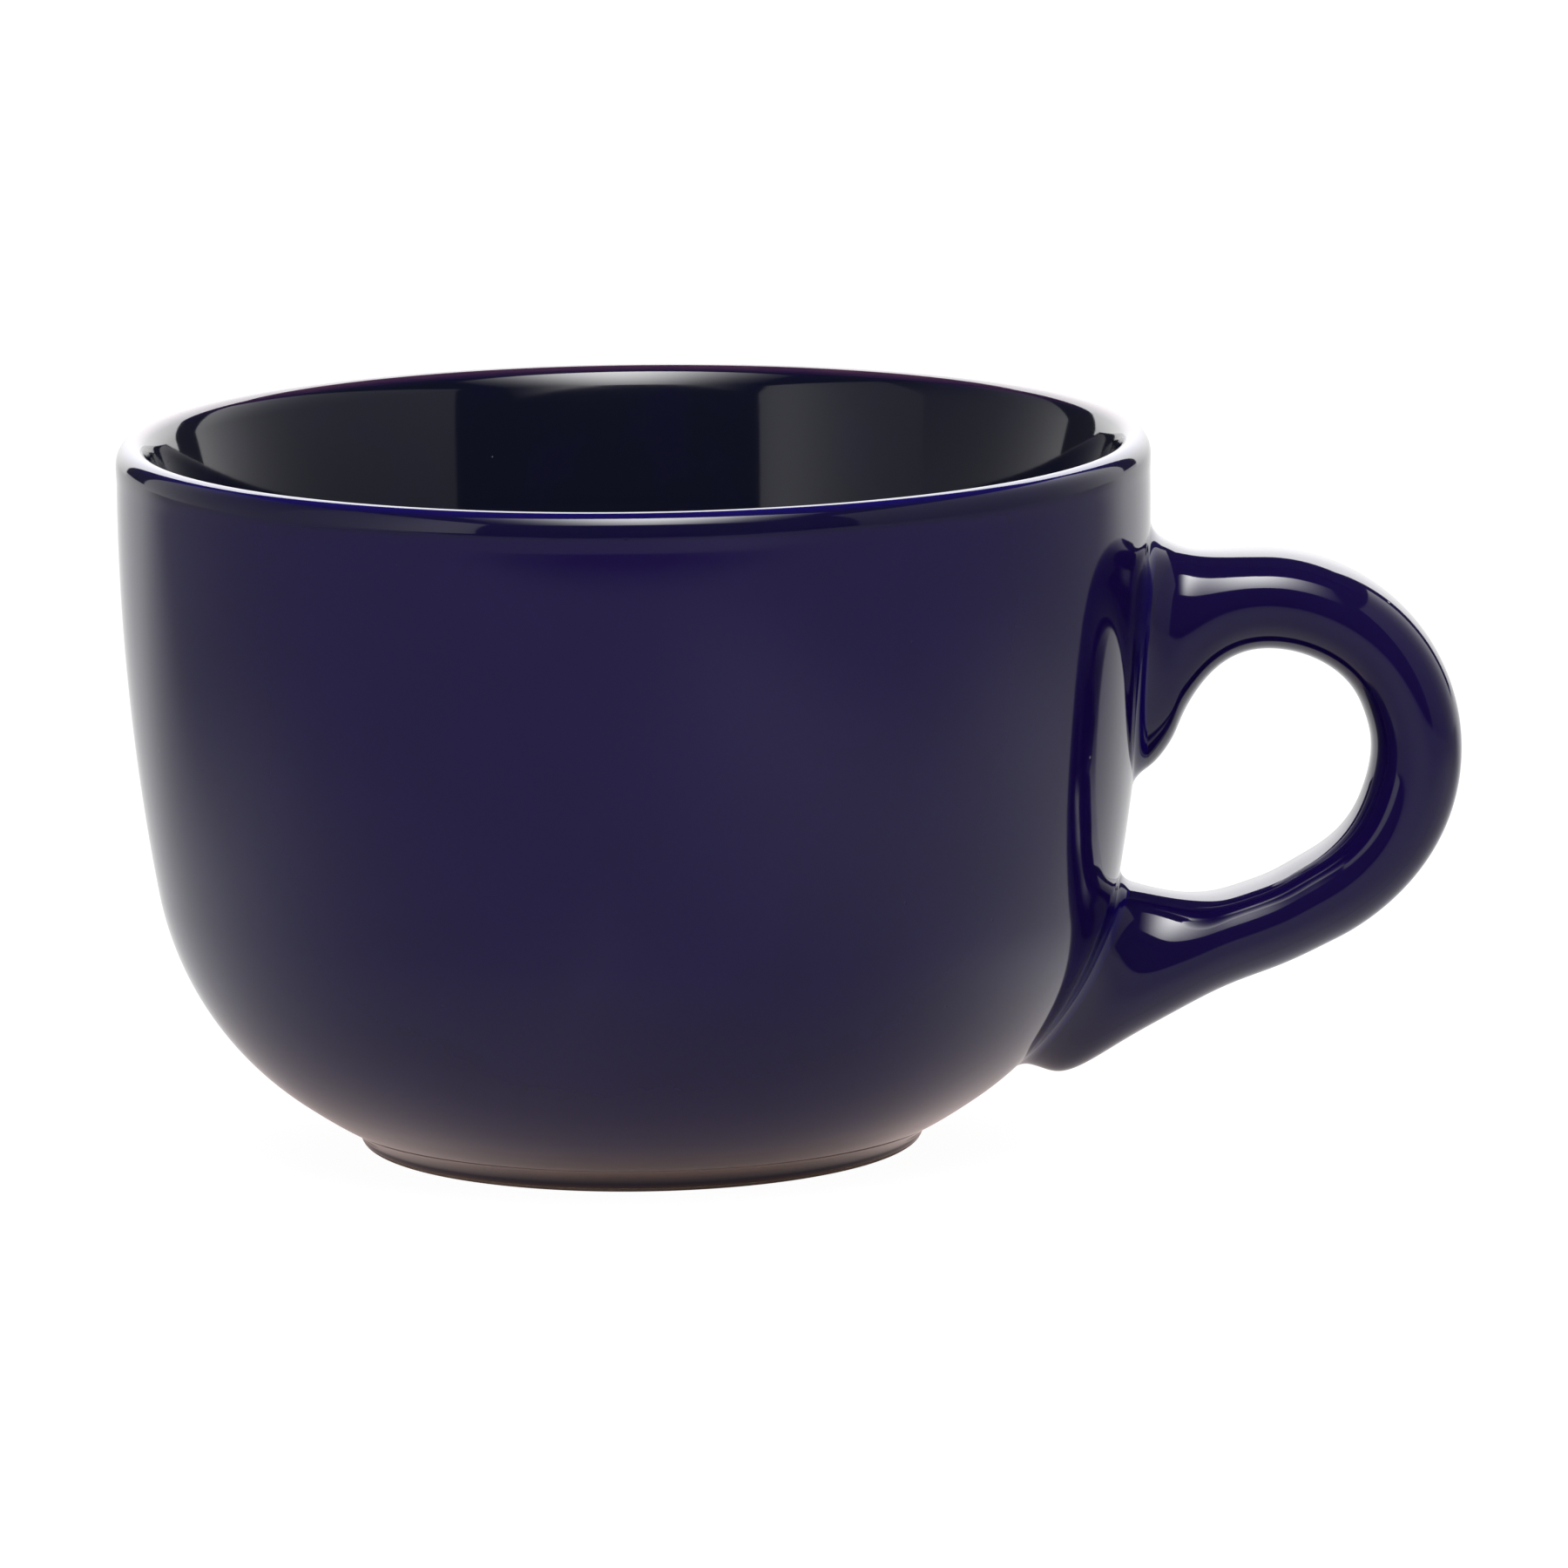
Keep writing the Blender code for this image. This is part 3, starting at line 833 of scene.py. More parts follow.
        wiped = feed(tree, "GeometryNodeSetMaterial",
                     {"Geometry": coat(tree, wavy, self.glaze), "Selection": bare, "Material": self.clay})
        add_node(tree, "NodeGroupOutput", {"Geometry": wiped})
        return tree

    def build(self) -> Item:
        """Turn the bowl on its axis.

        Returns:
            The finished bowl.
        """
        rows = self.outline()
        piece = grow("glazed_bowl", [(p.radius, 0.0, p.height) for p in rows],
                     {name: [getattr(p, name) for p in rows] for name in TINTS}, self.lathe(),
                     {"Sides": self.sides, "Axis": (self.axis, 0.0, 0.0), "Wave Size": self.wave_size,
                      "Wave Depth": self.wave_depth, "Bare Height": self.bare_height})
        face_outwards(piece.data)
        return piece

    def dress(self, piece: Item) -> None:
        """Seat the bowl on the CAD body in place of its plain solid."""
        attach(piece, "root")
        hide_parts("bowl")


# Handle


class Station(NamedTuple):
    """One cross-section of the handle, between its outer and inner edge in the turning plane."""

    outer: Point
    inner: Point
    width: float
    egg: float
    saddle: float
    seat_radius: float


class NeckEdge(NamedTuple):
    """How one edge of the handle leaves the bowl and runs into an arm."""

    flare_angle: float
    flare_pull: float
    arm_pull: float


class Swell(NamedTuple):
    """A low swelling of the loop's edge, or a hollow, as hand finishing leaves it.

    The direction is from the finger hole's middle in degrees above level, and the reach is in degrees to
    either side. A flatness over two makes a level top.
    """

    direction: float
    reach: float
    height: float
    flatness: float = 2.0


@dataclass
class Handle:
    """The cast loop handle, with necks that swell and saddle onto the bowl."""

    glaze: Material
    bowl: Bowl
    projection: float = 36.4 * MM
    top_arm_drop: float = 20.3 * MM
    heel_rise: float = 27.8 * MM
    lower_arm_run: float = 8.6 * MM
    lower_arm_slope: float = 23.9
    top_arm_thickness: float = 11.8 * MM
    grip_thickness: float = 10.5 * MM
    lower_arm_thickness: float = 11.1 * MM
    arm_width: float = 15.0 * MM
    grip_width: float = 14.5 * MM
    squareness: float = 2.3
    upper_seat: tuple[float, float, float] = (71.6 * MM, 42.8 * MM, 22.6 * MM)
    lower_seat: tuple[float, float, float] = (30.3 * MM, 9.0 * MM, 24.0 * MM)
    seat_egg: float = 0.18
    flare_power: float = 6.5
    key_depth: float = 2.4 * MM
    upper_outer: NeckEdge = NeckEdge(-33.0, 5.5 * MM, 8.3 * MM)
    upper_inner: NeckEdge = NeckEdge(15.0, 6.1 * MM, 9.2 * MM)
    lower_outer: NeckEdge = NeckEdge(-7.5, 9.3 * MM, 29.2 * MM)
    lower_inner: NeckEdge = NeckEdge(-17.0, 4.9 * MM, 4.7 * MM)
    softness: float = 1.2 * MM
    hole_middle: Point = (73.5 * MM, 42.5 * MM)
    outer_swells: tuple[Swell, ...] = (
        Swell(-124.0, 4.5, 1.35 * MM),
        Swell(-104.0, 15.0, -1.0 * MM),
        Swell(-50.0, 35.0, -0.75 * MM),
        Swell(92.0, 22.0, 0.32 * MM),
    )
    inner_swells: tuple[Swell, ...] = (
        Swell(-89.0, 19.0, 0.5 * MM),
        Swell(-3.0, 22.0, -0.33 * MM),
        Swell(93.0, 55.0, 0.52 * MM, 8.0),
    )
    # Painted shade: the whole handle's glaze is darkened by this share.
    handle_shade: float = 0.12
    neck_rows: int = 64
    neck_crowding: float = 1.25
    key_rows: int = 4
    arm_rows: int = 12
    bend_rows: int = 44
    section_points: int = 112

    def across(self, middle: Point, direction: float, thickness: float, width: float) -> Station:
        """Make a plain station with its edges on either side of a point of the centre line.

        Args:
            middle: The point of the centre line.
            direction: The way from the middle to the outer edge, in degrees above level.
            thickness: The distance between the edges.
            width: The station's width along Y.

        Returns:
            The station.
        """
        outer = along(middle, direction, thickness / 2)
        inner = along(middle, direction, -thickness / 2)
        return Station(outer, inner, width, 0.0, 0.0, self.bowl.rim_radius)

    def bend(self, centre: Point, radius: float, angles: Point, thicknesses: Point,
             widths: Point) -> list[Station]:
        """List stations round an arc of the centre line.

        Args:
            centre: The arc's centre.
            radius: The arc's radius.
            angles: First and last direction from the centre, in degrees above level.
            thicknesses: First and last thickness.
            widths: First and last width.

        Returns:
            The stations in order.
        """
        stations = []
        for i in range(self.bend_rows + 1):
            share = i / self.bend_rows
            angle = blend(*angles, share)
            easy = ease(share, 0.0, 1.0)
            stations.append(self.across(along(centre, angle, radius), angle, blend(*thicknesses, easy),
                                        blend(*widths, easy)))
        return stations

    def swell(self, place: Point, swells: tuple[Swell, ...]) -> Point:
        """Move a point of an edge to or from the hole's middle by the swellings it lies on.

        Args:
            place: The point of the edge.
            swells: The edge's swellings and hollows.

        Returns:
            The moved point.
        """
        angle = angle_of(self.hole_middle, place)
        rises = [one.height * math.exp(-abs((angle - one.direction) / one.reach) ** one.flatness)
                 for one in swells]
        return along(place, angle, sum(rises))

    def seat(self, end: SeatEnd) -> Station:
        """Work out the station at which a neck meets the bowl.

        Args:
            end: Which end of the handle this is.

        Returns:
            The station, with its edges on the bowl's outside.
        """
        top, bottom, width = self.upper_seat if end is SeatEnd.UPPER else self.lower_seat
        high = (self.bowl.radius_at(top), top)
        low = (self.bowl.radius_at(bottom), bottom)
        outer, inner = (high, low) if end is SeatEnd.UPPER else (low, high)
        return Station(outer, inner, width, self.seat_egg, 1.0, (high[0] + low[0]) / 2)

    def neck(self, end: SeatEnd, arm: Station, arm_angle: float) -> list[Station]:
        """List stations from inside the bowl's wall out to an arm, the arm's own left out.

        Args:
            end: Which end of the handle this is.
            arm: The arm's first station.
            arm_angle: The way the arm runs back to the bowl, in degrees above level.

        Returns:
            The stations from the bowl outwards.
        """
        base = self.seat(end)
        edges = (self.upper_outer, self.upper_inner)
        if end is SeatEnd.LOWER:
            edges = (self.lower_outer, self.lower_inner)
        curves = []
        for start, stop, edge in zip(base[:2], arm[:2], edges):
            curves.append([start, along(start, edge.flare_angle, edge.flare_pull),
                           along(stop, arm_angle, edge.arm_pull), stop])
        middle = middle_of(base.outer, base.inner)
        centre = self.bowl.wall_centre if middle[1] > self.bowl.belly_centre[1] else self.bowl.belly_centre
        inwards = angle_of(centre, middle)
        stations = []
        for i in range(self.key_rows, 0, -1):
            depth = -self.key_depth * i / self.key_rows
            stations.append(base._replace(outer=along(base.outer, inwards, depth),
                                          inner=along(base.inner, inwards, depth)))
        for i in range(self.neck_rows):
            t = (i / self.neck_rows) ** self.neck_crowding
            flare = (1 - t) ** self.flare_power
            stations.append(Station(bezier(curves[0], t), bezier(curves[1], t),
                                    blend(arm.width, base.width, flare), base.egg * flare, (1 - t) ** 2,
                                    base.seat_radius))
        return stations

    def stations(self) -> list[Station]:
        """List the handle's cross-sections from its upper seat, round the loop, to its lower seat.

        Returns:
            The stations in order.
        """
        grip_radius = self.bowl.rim_radius + self.projection - self.grip_thickness / 2
        top_height = self.bowl.height - self.top_arm_drop
        grip_height = (top_height + self.heel_rise) / 2
        shoulder_arc = top_height - grip_height
        heel_arc = (grip_height - self.heel_rise) / math.cos(math.radians(self.lower_arm_slope))
        heel_centre = (grip_radius - heel_arc, grip_height)
        heel_stop = self.lower_arm_slope - 90.0
        shoulder = self.bend((grip_radius - shoulder_arc, grip_height), shoulder_arc, (90.0, 0.0),
                             (self.top_arm_thickness, self.grip_thickness), (self.arm_width, self.grip_width))
        heel = self.bend(heel_centre, heel_arc, (0.0, heel_stop),
                         (self.grip_thickness, self.lower_arm_thickness), (self.grip_width, self.arm_width))
        back_to_bowl = 180.0 + self.lower_arm_slope
        heel_end = along(heel_centre, heel_stop, heel_arc)
        arm_runs = [self.lower_arm_run * i / self.arm_rows for i in range(1, self.arm_rows + 1)]
        lower_arm = [self.across(along(heel_end, back_to_bowl, run), heel_stop, self.lower_arm_thickness,
                                 self.arm_width) for run in arm_runs]
        upper_neck = self.neck(SeatEnd.UPPER, shoulder[0], 180.0)
        lower_neck = self.neck(SeatEnd.LOWER, lower_arm[-1], back_to_bowl)
        loop = upper_neck + shoulder + heel[1:] + lower_arm + lower_neck[::-1]
        inner_edge = soften([station.inner for station in loop], self.softness)
        return [station._replace(outer=self.swell(station.outer, self.outer_swells),
                                 inner=self.swell(place, self.inner_swells))
                for station, place in zip(loop, inner_edge)]

    def loft(self) -> Tree:
        """Make the node tree that stretches an oval skin over the stations.

        Returns:
            The tree.
        """
        tree, given = new_tree("lofted_handle", {
            "Section Points": "NodeSocketInt", "Squareness": "NodeSocketFloat"})
        around = given["Section Points"]
        wrap = wrap_line(tree, given["Geometry"], around, {
            "position": "FLOAT_VECTOR", "reach": "FLOAT_VECTOR", "half_width": "FLOAT", "egg": "FLOAT",
            "saddle": "FLOAT", "seat_radius": "FLOAT"})
        at = wrap.carried
        power = compute(tree, "DIVIDE", 2.0, given["Squareness"])
        rounded = {}
        for wave in ("COSINE", "SINE"):
            plain = compute(tree, wave, wrap.turn)
            full = compute(tree, "POWER", compute(tree, "ABSOLUTE", plain), power)
            rounded[wave] = compute(tree, "MULTIPLY", full, compute(tree, "SIGN", plain))
        rise = scale_vector(tree, at["reach"], rounded["COSINE"])
        fuller = compute(tree, "MULTIPLY_ADD", at["egg"], rounded["COSINE"], 1.0)
        wide = compute(tree, "MULTIPLY", fuller, at["half_width"])
        side = compute(tree, "MULTIPLY", wide, rounded["SINE"])
        seat_square = compute(tree, "POWER", at["seat_radius"], 2.0)
        side_square = compute(tree, "MULTIPLY", side, side)
        chord = compute(tree, "SQRT", compute(tree, "SUBTRACT", seat_square, side_square))
        sag = compute(tree, "SUBTRACT", chord, at["seat_radius"])
        drop = compute(tree, "MULTIPLY", sag, at["saddle"])
        sideways = feed(tree, "ShaderNodeCombineXYZ", {"X": drop, "Y": side})
        lifted = compute(tree, "ADD", at["position"], rise, kind=Maths.VECTOR)
        place = compute(tree, "ADD", lifted, sideways, kind=Maths.VECTOR)
        skin = feed(tree, "GeometryNodeSetPosition", {"Geometry": wrap.mesh, "Position": place})
        column = compute(tree, "MODULO", wrap.column, around, kind=Maths.WHOLE)
        skin = store(tree, skin, "row", wrap.row, "INT")
        skin = store(tree, skin, "column", column, "INT")
        add_node(tree, "NodeGroupOutput", {"Geometry": coat(tree, close_seam(tree, skin), self.glaze)})
        return tree

    def build(self) -> Item:
        """Stretch the handle's skin over its stations and close its ends inside the bowl's wall.

        Returns:
            The finished handle.
        """
        stations = self.stations()
        middles = [middle_of(s.outer, s.inner) for s in stations]
        line = [(radius + self.bowl.axis, 0.0, height) for radius, height in middles]
        spans = [((s.outer[0] - s.inner[0]) / 2, 0.0, (s.outer[1] - s.inner[1]) / 2) for s in stations]
        layers = {"reach": spans, "half_width": [s.width / 2 for s in stations]}
        for name in ("egg", "saddle", "seat_radius"):
            layers[name] = [getattr(s, name) for s in stations]
        piece = grow("glazed_handle", line, layers, self.loft(),
                     {"Section Points": self.section_points, "Squareness": self.squareness})
        self.skin = self.read_skin(piece.data, len(stations))
        face_outwards(piece.data)
        # Painted shade over the whole handle.
        stain(piece.data, "painted_shade", self.handle_shade)
        return piece

    def read_skin(self, mesh: Mesh, rows: int) -> np.ndarray:
        """Read the skin's points back as a grid, and drop the marks that held their places.

        Args:
            mesh: The handle's mesh.
            rows: The number of stations.

        Returns:
            Points by station, by place round the station, and by axis.
        """
        count = len(mesh.vertices)
        points = np.zeros(count * 3)
        mesh.vertices.foreach_get("co", points)
        marks = {}
        for name in ("row", "column"):
            marks[name] = np.zeros(count, dtype=np.int32)
            mesh.attributes[name].data.foreach_get("value", marks[name])
            mesh.attributes.remove(mesh.attributes[name])
        grid = np.zeros((rows, self.section_points, 3))
        grid[marks["row"], marks["column"]] = points.reshape(-1, 3)
        return grid

    def dress(self, piece: Item) -> None:
        """Seat the handle on the CAD body in place of its plain solid."""
        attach(piece, "root")
        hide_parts("handle")


@dataclass
class SlipBead:
    """The smoothed bead of luting slip that fills the corner between a seat and the bowl."""

    glaze: Material
    end: SeatEnd
    on_handle: float = 1.7 * MM
    on_bowl: float = 1.5 * MM
    pull: float = 0.6
    sunk: float = 0.012 * MM
    lap: float = 0.2 * MM
    root_depth: float = 0.4 * MM
    thinness: float = 0.3
    sharp_angle: float = 40.0
    bead_rows: int = 14

    def build(self, bowl: Bowl, handle: Handle) -> Item:
        """Lay the bead along the line where the handle's skin meets the bowl.

        Args:
            bowl: The bowl under the bead.
            handle: The handle beside it, already built.

        Returns:
            The finished bead, a closed ring.
        """
        reach = handle.key_rows + handle.neck_rows
        skin = handle.skin[:reach] if self.end is SeatEnd.UPPER else handle.skin[::-1][:reach]
        crease, upper, upper_way, upper_normal = self.trace(bowl, skin)
        _, out = bowl.outside(crease)
        way = away_from(crease, out)
        lower = self.drop_to(bowl, crease + way * self.on_bowl)
        lap_end = self.drop_to(bowl, lower + way * self.lap, -self.sunk)
        lap_start = upper - upper_way * self.lap - upper_normal * self.sunk
        rings = [lap_start]
        first = upper + upper_way * self.on_handle * self.pull
        second = lower - way * self.on_bowl * self.pull
        for i in range(self.bead_rows + 1):
            t = i / self.bead_rows
            rings.append(upper * (1 - t) ** 3 + first * 3 * t * (1 - t) ** 2
                         + second * 3 * t * t * (1 - t) + lower * t ** 3)
        rings.append(lap_end)
        rings.append(crease - out * self.root_depth - way * self.root_depth)
        return self.skin_over(np.stack(rings))

    def trace(self, bowl: Bowl, skin: np.ndarray) -> tuple[np.ndarray, np.ndarray, np.ndarray, np.ndarray]:
        """Find where each line of the handle's skin meets the bowl, and where the bead starts above that.

        Args:
            bowl: The bowl under the bead.
            skin: Points of the handle from inside the wall outwards, by station and place.

        Returns:
            The meeting points, the starts of the bead, the way down the skin at the starts and the
            skin's outward direction there.
        """
        rows, columns = skin.shape[:2]
        distance = bowl.outside(skin.reshape(-1, 3))[0].reshape(rows, columns)
        crease, start, way = [], [], []
        for j in range(columns):
            low = int(np.argmax(distance[:, j] > 0)) - 1
            share = -distance[low, j] / (distance[low + 1, j] - distance[low, j])
            meet = skin[low, j] + share * (skin[low + 1, j] - skin[low, j])
            line = np.vstack([meet, skin[low + 1:, j]])
            run = runs(line)
            at = np.array([np.interp(self.on_handle, run, line[:, k]) for k in range(3)])
            past = np.array([np.interp(self.on_handle + self.lap, run, line[:, k]) for k in range(3)])
            crease.append(meet)
            start.append(at)
            way.append((at - past) / np.linalg.norm(at - past))
        starts = np.array(start)
        ways = np.array(way)
        return np.array(crease), starts, ways, away_from(starts, ways)

    def drop_to(self, bowl: Bowl, points: np.ndarray, height: float = 0.0) -> np.ndarray:
        """Move points straight onto the bowl's outside, or to a height above it."""
        distance, out = bowl.outside(points)
        return points - out * (distance - height)[:, None]

    def skin_over(self, rings: np.ndarray) -> Item:
        """Make the closed ring whose rows of points are given, in order round its section.

        Args:
            rings: Points by place in the section, by place along the bead, and by axis.

        Returns:
            The finished bead.
        """
        count, columns = rings.shape[:2]
        faces = []
        for i in range(count):
            for j in range(columns):
                following, below = (j + 1) % columns, (i + 1) % count
                faces.append((i * columns + j, i * columns + following, below * columns + following,
                              below * columns + j))
        mesh = bpy.data.meshes.new(self.end.value + "_bead")
        mesh.from_pydata(rings.reshape(-1, 3).tolist(), [], faces)
        face_outwards(mesh)
        mesh.shade_smooth()
        mesh.set_sharp_from_angle(angle=math.radians(self.sharp_angle))
        stain(mesh, "edge", self.thinness)
        mesh.materials.append(self.glaze)
        return link_object(self.end.value + "_bead", mesh)

    def dress(self, piece: Item) -> None:
        """Seat the bead on the CAD body in place of its slip joint."""
        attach(piece, "root")
        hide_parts(self.end.value)


# Set and camera


class Panel(NamedTuple):
    """A glowing panel of the set.

    Its corners run along the low edge and back along the high one. Its light goes from one value to the
    other between these edges. Along its length it falls from a bright middle to a share of that light.
    """

    name: str
    corners: tuple[Triple, ...]
    low_light: float
    high_light: float
    share: float = 1.0
    middle: float = 0.5
    spread: float = 1.0


class Pool(NamedTuple):
    """A soft pool of light on the table, as the mug mirrors it."""

    glow: float
    centre: Point
    size: Point


@dataclass
class Studio:
    """A white table with a soft box overhead, pale panels at both sides and a white back."""

    axis: float
    floor_size: float = 14.0
    floor_colour: str = "#595959"
    bounce_colour: str = "#D8D8D8"
    floor_glow: float = 0.97
    # In the mug's mirror the table shows painted light: a glow that fades towards the front, a lit wedge and
    # pools of light.
    table_glow: float = 0.31
    front_share: float = 0.1
    lit_glow: float = 0.92
    lit_middle: float = -0.03
    lit_slope: float = 0.9
    lit_edge: Point = (-0.16, 0.06)
    pools: tuple[Pool, ...] = (
        Pool(0.35, (0.03, 1.0), (0.60, 0.45)),
        Pool(0.28, (-0.14, 0.0), (0.12, 0.08)),
        Pool(0.22, (0.20, 0.0), (0.12, 0.10)),
        Pool(0.14, (0.10, -0.20), (0.09, 0.20)),
        Pool(0.40, (0.055, -0.008), (0.04, 0.04)),
        Pool(0.30, (-0.043, -0.022), (0.015, 0.015)),
        Pool(0.40, (0.015, -0.010), (0.015, 0.015)),
    )
    most_glow: float = 1.2
    # Painted shade round the mug's foot, with a warm painted tint, seen only in the mug's mirror.
    contact_shade: float = 0.6
    contact_tint: str = "#FFD9CF"
    contact_size: float = 0.07
    tint_power: float = 2.0
    front_edge: Point = (-0.62, -0.44)
    ambient: float = 0.05
    panels: tuple[Panel, ...] = (
        Panel("overhead_soft_box", ((-0.45, -0.78, 0.62), (0.50, -0.78, 0.62), (0.50, -0.295, 0.876),
                                    (-0.45, -0.295, 0.876)), 4.5, 16.0, 0.0, 0.505, 0.25),
        Panel("right_panel", ((0.60, -0.52, 0.0), (0.60, 0.66, 0.0), (0.60, 0.66, 0.67), (0.60, -0.52, 0.67)),
              0.9, 1.8, 0.25, 1.0, 0.3),
        Panel("left_front_panel", ((-0.64, -0.98, 0.0), (-0.64, -0.1, 0.0), (-0.64, -0.1, 0.76),
                                   (-0.64, -0.98, 0.76)), 0.9, 0.9, 0.35, 0.25, 0.4),
        Panel("left_back_panel", ((-0.64, -0.1, 0.0), (-0.64, 0.58, 0.0), (-0.64, 0.58, 0.76),
                                  (-0.64, -0.1, 0.76)), 0.95, 0.2, 0.38, 1.0, 0.45),
        Panel("back_panel", ((-0.64, 1.0, 0.0), (0.62, 1.0, 0.0), (0.62, 1.0, 1.05), (-0.64, 1.0, 1.05)),
              1.2, 6.0),
    )

    def build(self) -> None:
        """Make the floor, the glowing panels and the dim room."""
        self.lay_floor()
        for panel in self.panels:
            self.hang_panel(panel)
        world = bpy.data.worlds.new("studio_room")
        bpy.context.scene.world = world
        world.use_nodes = True
        tree = world.node_tree
        seen = feed(tree, "ShaderNodeLightPath", output=Ray.CAMERA.value)
        room = tree.nodes["Background"].inputs
        tree.links.new(map_range(tree, seen, (self.ambient, 1.0)), room["Strength"])
        room["Color"].default_value = linear(WHITE)

    def lay_floor(self) -> None:
        """Lay the white table, which keeps the mug's shadow and shows white to the camera.

        In the mug's mirror it shows painted pools of light and a painted shade round the foot with a warm
        tint.
        """
        half = self.floor_size / 2
        mesh = bpy.data.meshes.new("white_table")
        mesh.from_pydata([(-half, -half, 0.0), (half, -half, 0.0), (half, half, 0.0), (-half, half, 0.0)], [],
                         [(0, 1, 2, 3)])
        material, tree = new_material("matt_white_table")
        path = add_node(tree, "ShaderNodeLightPath").outputs
        coords = feed(tree, "ShaderNodeTexCoord", output="Object")
        contact = add_bell(tree, coords, (self.axis, 0.0, 0.0), (self.contact_size, self.contact_size, 1.0))
        place = add_node(tree, "ShaderNodeSeparateXYZ", {"Vector": coords}).outputs
        table = map_range(tree, place["Y"], (self.front_share * self.table_glow, self.table_glow),
                          self.front_edge, interpolation_type="SMOOTHSTEP")
        span = compute(tree, "ABSOLUTE", compute(tree, "SUBTRACT", place["X"], self.lit_middle))
        within = compute(tree, "MULTIPLY_ADD", span, -self.lit_slope, place["Y"])
        glow = map_range(tree, within, (table, self.lit_glow), self.lit_edge, interpolation_type="SMOOTHSTEP")
        for pool in self.pools:
            spot = add_bell(tree, coords, (*pool.centre, 0.0), (*pool.size, 1.0))
            glow = compute(tree, "MULTIPLY_ADD", spot, pool.glow, glow)
        shade = compute(tree, "MULTIPLY_ADD", contact, -self.contact_shade, 1.0)
        dimmed = compute(tree, "MULTIPLY", compute(tree, "MINIMUM", glow, self.most_glow), shade)
        mirrored = compute(tree, "MAXIMUM", path[Ray.GLOSSY.value], path[Ray.TRANSMISSION.value])
        near = compute(tree, "POWER", contact, self.tint_power)
        tint = mix_colour(tree, near, linear(WHITE), linear(self.contact_tint))
        in_mirror = feed(tree, "ShaderNodeEmission", {"Color": tint, "Strength": dimmed})
        to_camera = feed(tree, "ShaderNodeEmission", {"Strength": self.floor_glow})
        matt = feed(tree, "ShaderNodeBsdfDiffuse", {"Color": linear(self.floor_colour)})
        bright = feed(tree, "ShaderNodeBsdfDiffuse", {"Color": linear(self.bounce_colour)})
        seen = feed(tree, "ShaderNodeAddShader", {0: matt, 1: to_camera})
        plain = feed(tree, "ShaderNodeMixShader", {0: path[Ray.CAMERA.value], 1: bright, 2: seen})
        shown = feed(tree, "ShaderNodeMixShader", {0: mirrored, 1: plain, 2: in_mirror})
        below = feed(tree, "ShaderNodeNewGeometry", output="Backfacing")
        clear = feed(tree, "ShaderNodeBsdfTransparent")
        set_surface(tree, feed(tree, "ShaderNodeMixShader", {0: below, 1: shown, 2: clear}))
        mesh.materials.append(material)
        link_object("white_table", mesh)

    def hang_panel(self, panel: Panel) -> None:
        """Hang one glowing panel, which lights and mirrors in the mug but isn't seen by the camera.

        Args:
            panel: The panel to hang.
        """
        mesh = bpy.data.meshes.new(panel.name)
        mesh.from_pydata(panel.corners, [], [(0, 1, 2, 3)])
        mesh.uv_layers.new(name="across").data.foreach_set("uv", (0.0, 0.0, 1.0, 0.0, 1.0, 1.0, 0.0, 1.0))
        material, tree = new_material(panel.name + "_cloth")
        across = feed(tree, "ShaderNodeTexCoord", output="UV")
        height = feed(tree, "ShaderNodeSeparateXYZ", {"Vector": across}, "Y")
        light = map_range(tree, height, (panel.low_light, panel.high_light))
        fall = add_bell(tree, across, (panel.middle, 0.0, 0.0), (panel.spread, NO_FALL, 1.0))
        strength = compute(tree, "MULTIPLY", light, map_range(tree, fall, (panel.share, 1.0)))
        set_surface(tree, feed(tree, "ShaderNodeEmission", {"Strength": strength}))
        mesh.materials.append(material)
        item = link_object(panel.name, mesh)
        item.visible_camera = False
        item.visible_shadow = False


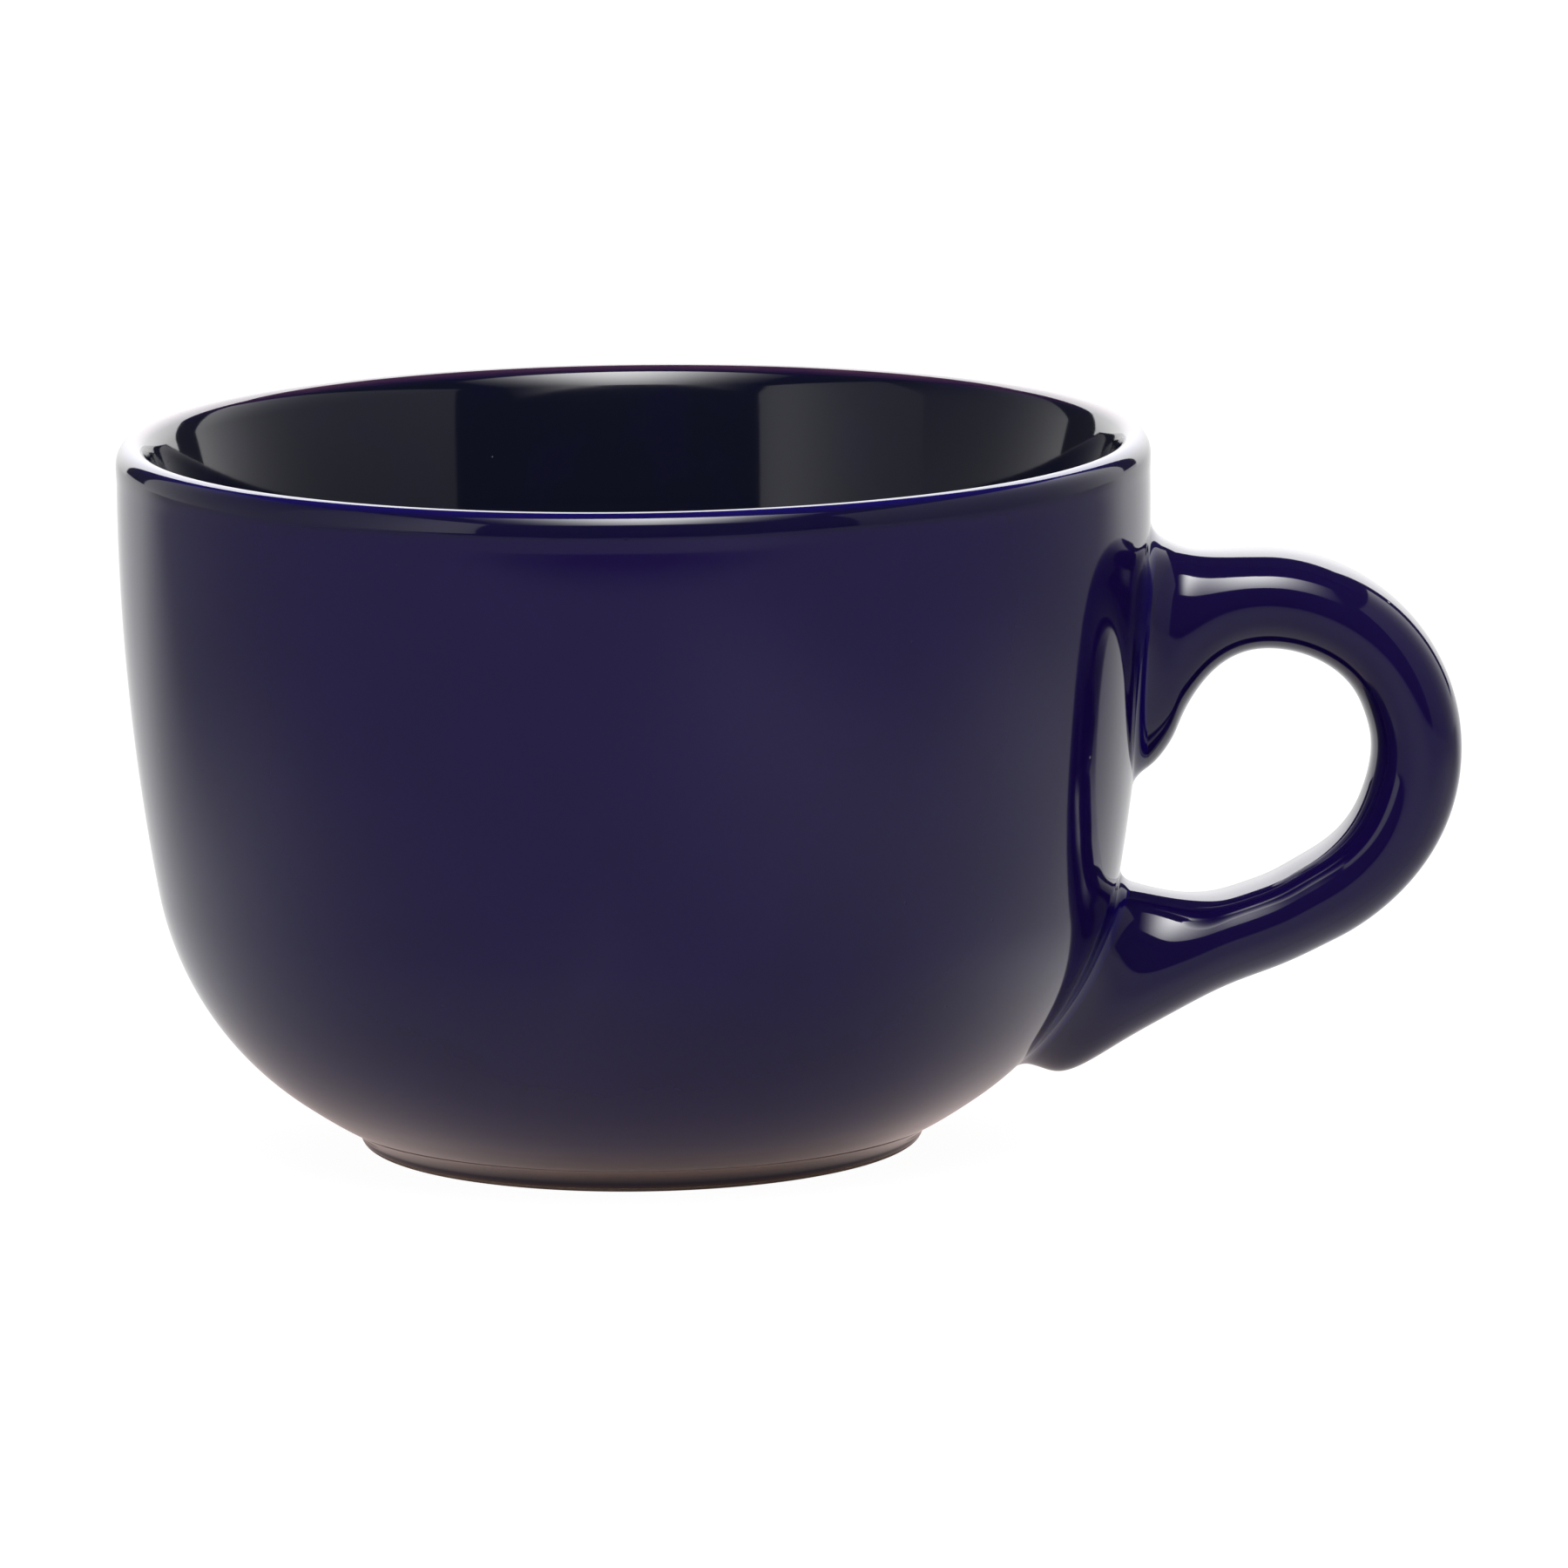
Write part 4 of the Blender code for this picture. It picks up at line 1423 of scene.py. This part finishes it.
@dataclass
class PhotoCamera:
    """The camera of the photograph, placed from the bowl's axis."""

    axis: float
    distance: float = 1445.75 * MM
    height: float = 299.18 * MM
    focal_pixels: float = 14334.0
    image_pixels: float = 1800.0
    sensor: float = 36.0
    pitch: float = 0.1761
    heading: float = 0.0119
    roll: float = -0.0110
    handle_turn: float = math.radians(1.5)
    clip_start: float = 0.05
    clip_end: float = 50.0

    def build(self) -> None:
        """Make the camera and hand it to the scene."""
        data = bpy.data.cameras.new("photo_camera")
        data.sensor_width = self.sensor
        data.lens = self.focal_pixels / self.image_pixels * self.sensor
        data.clip_start = self.clip_start
        data.clip_end = self.clip_end
        camera = link_object("photo_camera", data)
        side = self.heading - self.handle_turn
        ahead = Vector((math.sin(side) * math.cos(self.pitch), math.cos(side) * math.cos(self.pitch),
                        -math.sin(self.pitch)))
        level = ahead.cross(Vector((0.0, 0.0, 1.0))).normalized()
        upright = level.cross(ahead)
        right = level * math.cos(self.roll) + upright * math.sin(self.roll)
        up = upright * math.cos(self.roll) - level * math.sin(self.roll)
        turn = Matrix((right, up, -ahead)).transposed()
        stand = Vector((self.axis + self.distance * math.sin(self.handle_turn),
                        -self.distance * math.cos(self.handle_turn), self.height))
        camera.matrix_world = Matrix.Translation(stand) @ turn.to_4x4()
        bpy.context.scene.camera = camera


def report(piece: Item) -> None:
    """Log a finished piece with the number of its faces."""
    LOG.info("%s: %d faces", piece.name, len(piece.data.polygons))


def main() -> None:
    """Build the mug's pieces in order, then the set and the camera."""
    logging.basicConfig(level=logging.INFO, format="%(name)s: %(message)s")
    bpy.context.scene.view_settings.view_transform = "Standard"
    low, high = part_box("bowl")
    axis = (low.x + high.x) / 2
    glaze = CobaltGlaze().material()
    bowl = Bowl(glaze, BareStoneware().material(), axis)
    handle = Handle(glaze, bowl)
    for part in (bowl, handle):
        piece = part.build()
        part.dress(piece)
        report(piece)
    for end in SeatEnd:
        bead = SlipBead(glaze, end)
        piece = bead.build(bowl, handle)
        bead.dress(piece)
        report(piece)
    Studio(axis).build()
    PhotoCamera(axis).build()


if __name__ == "__main__":
    main()
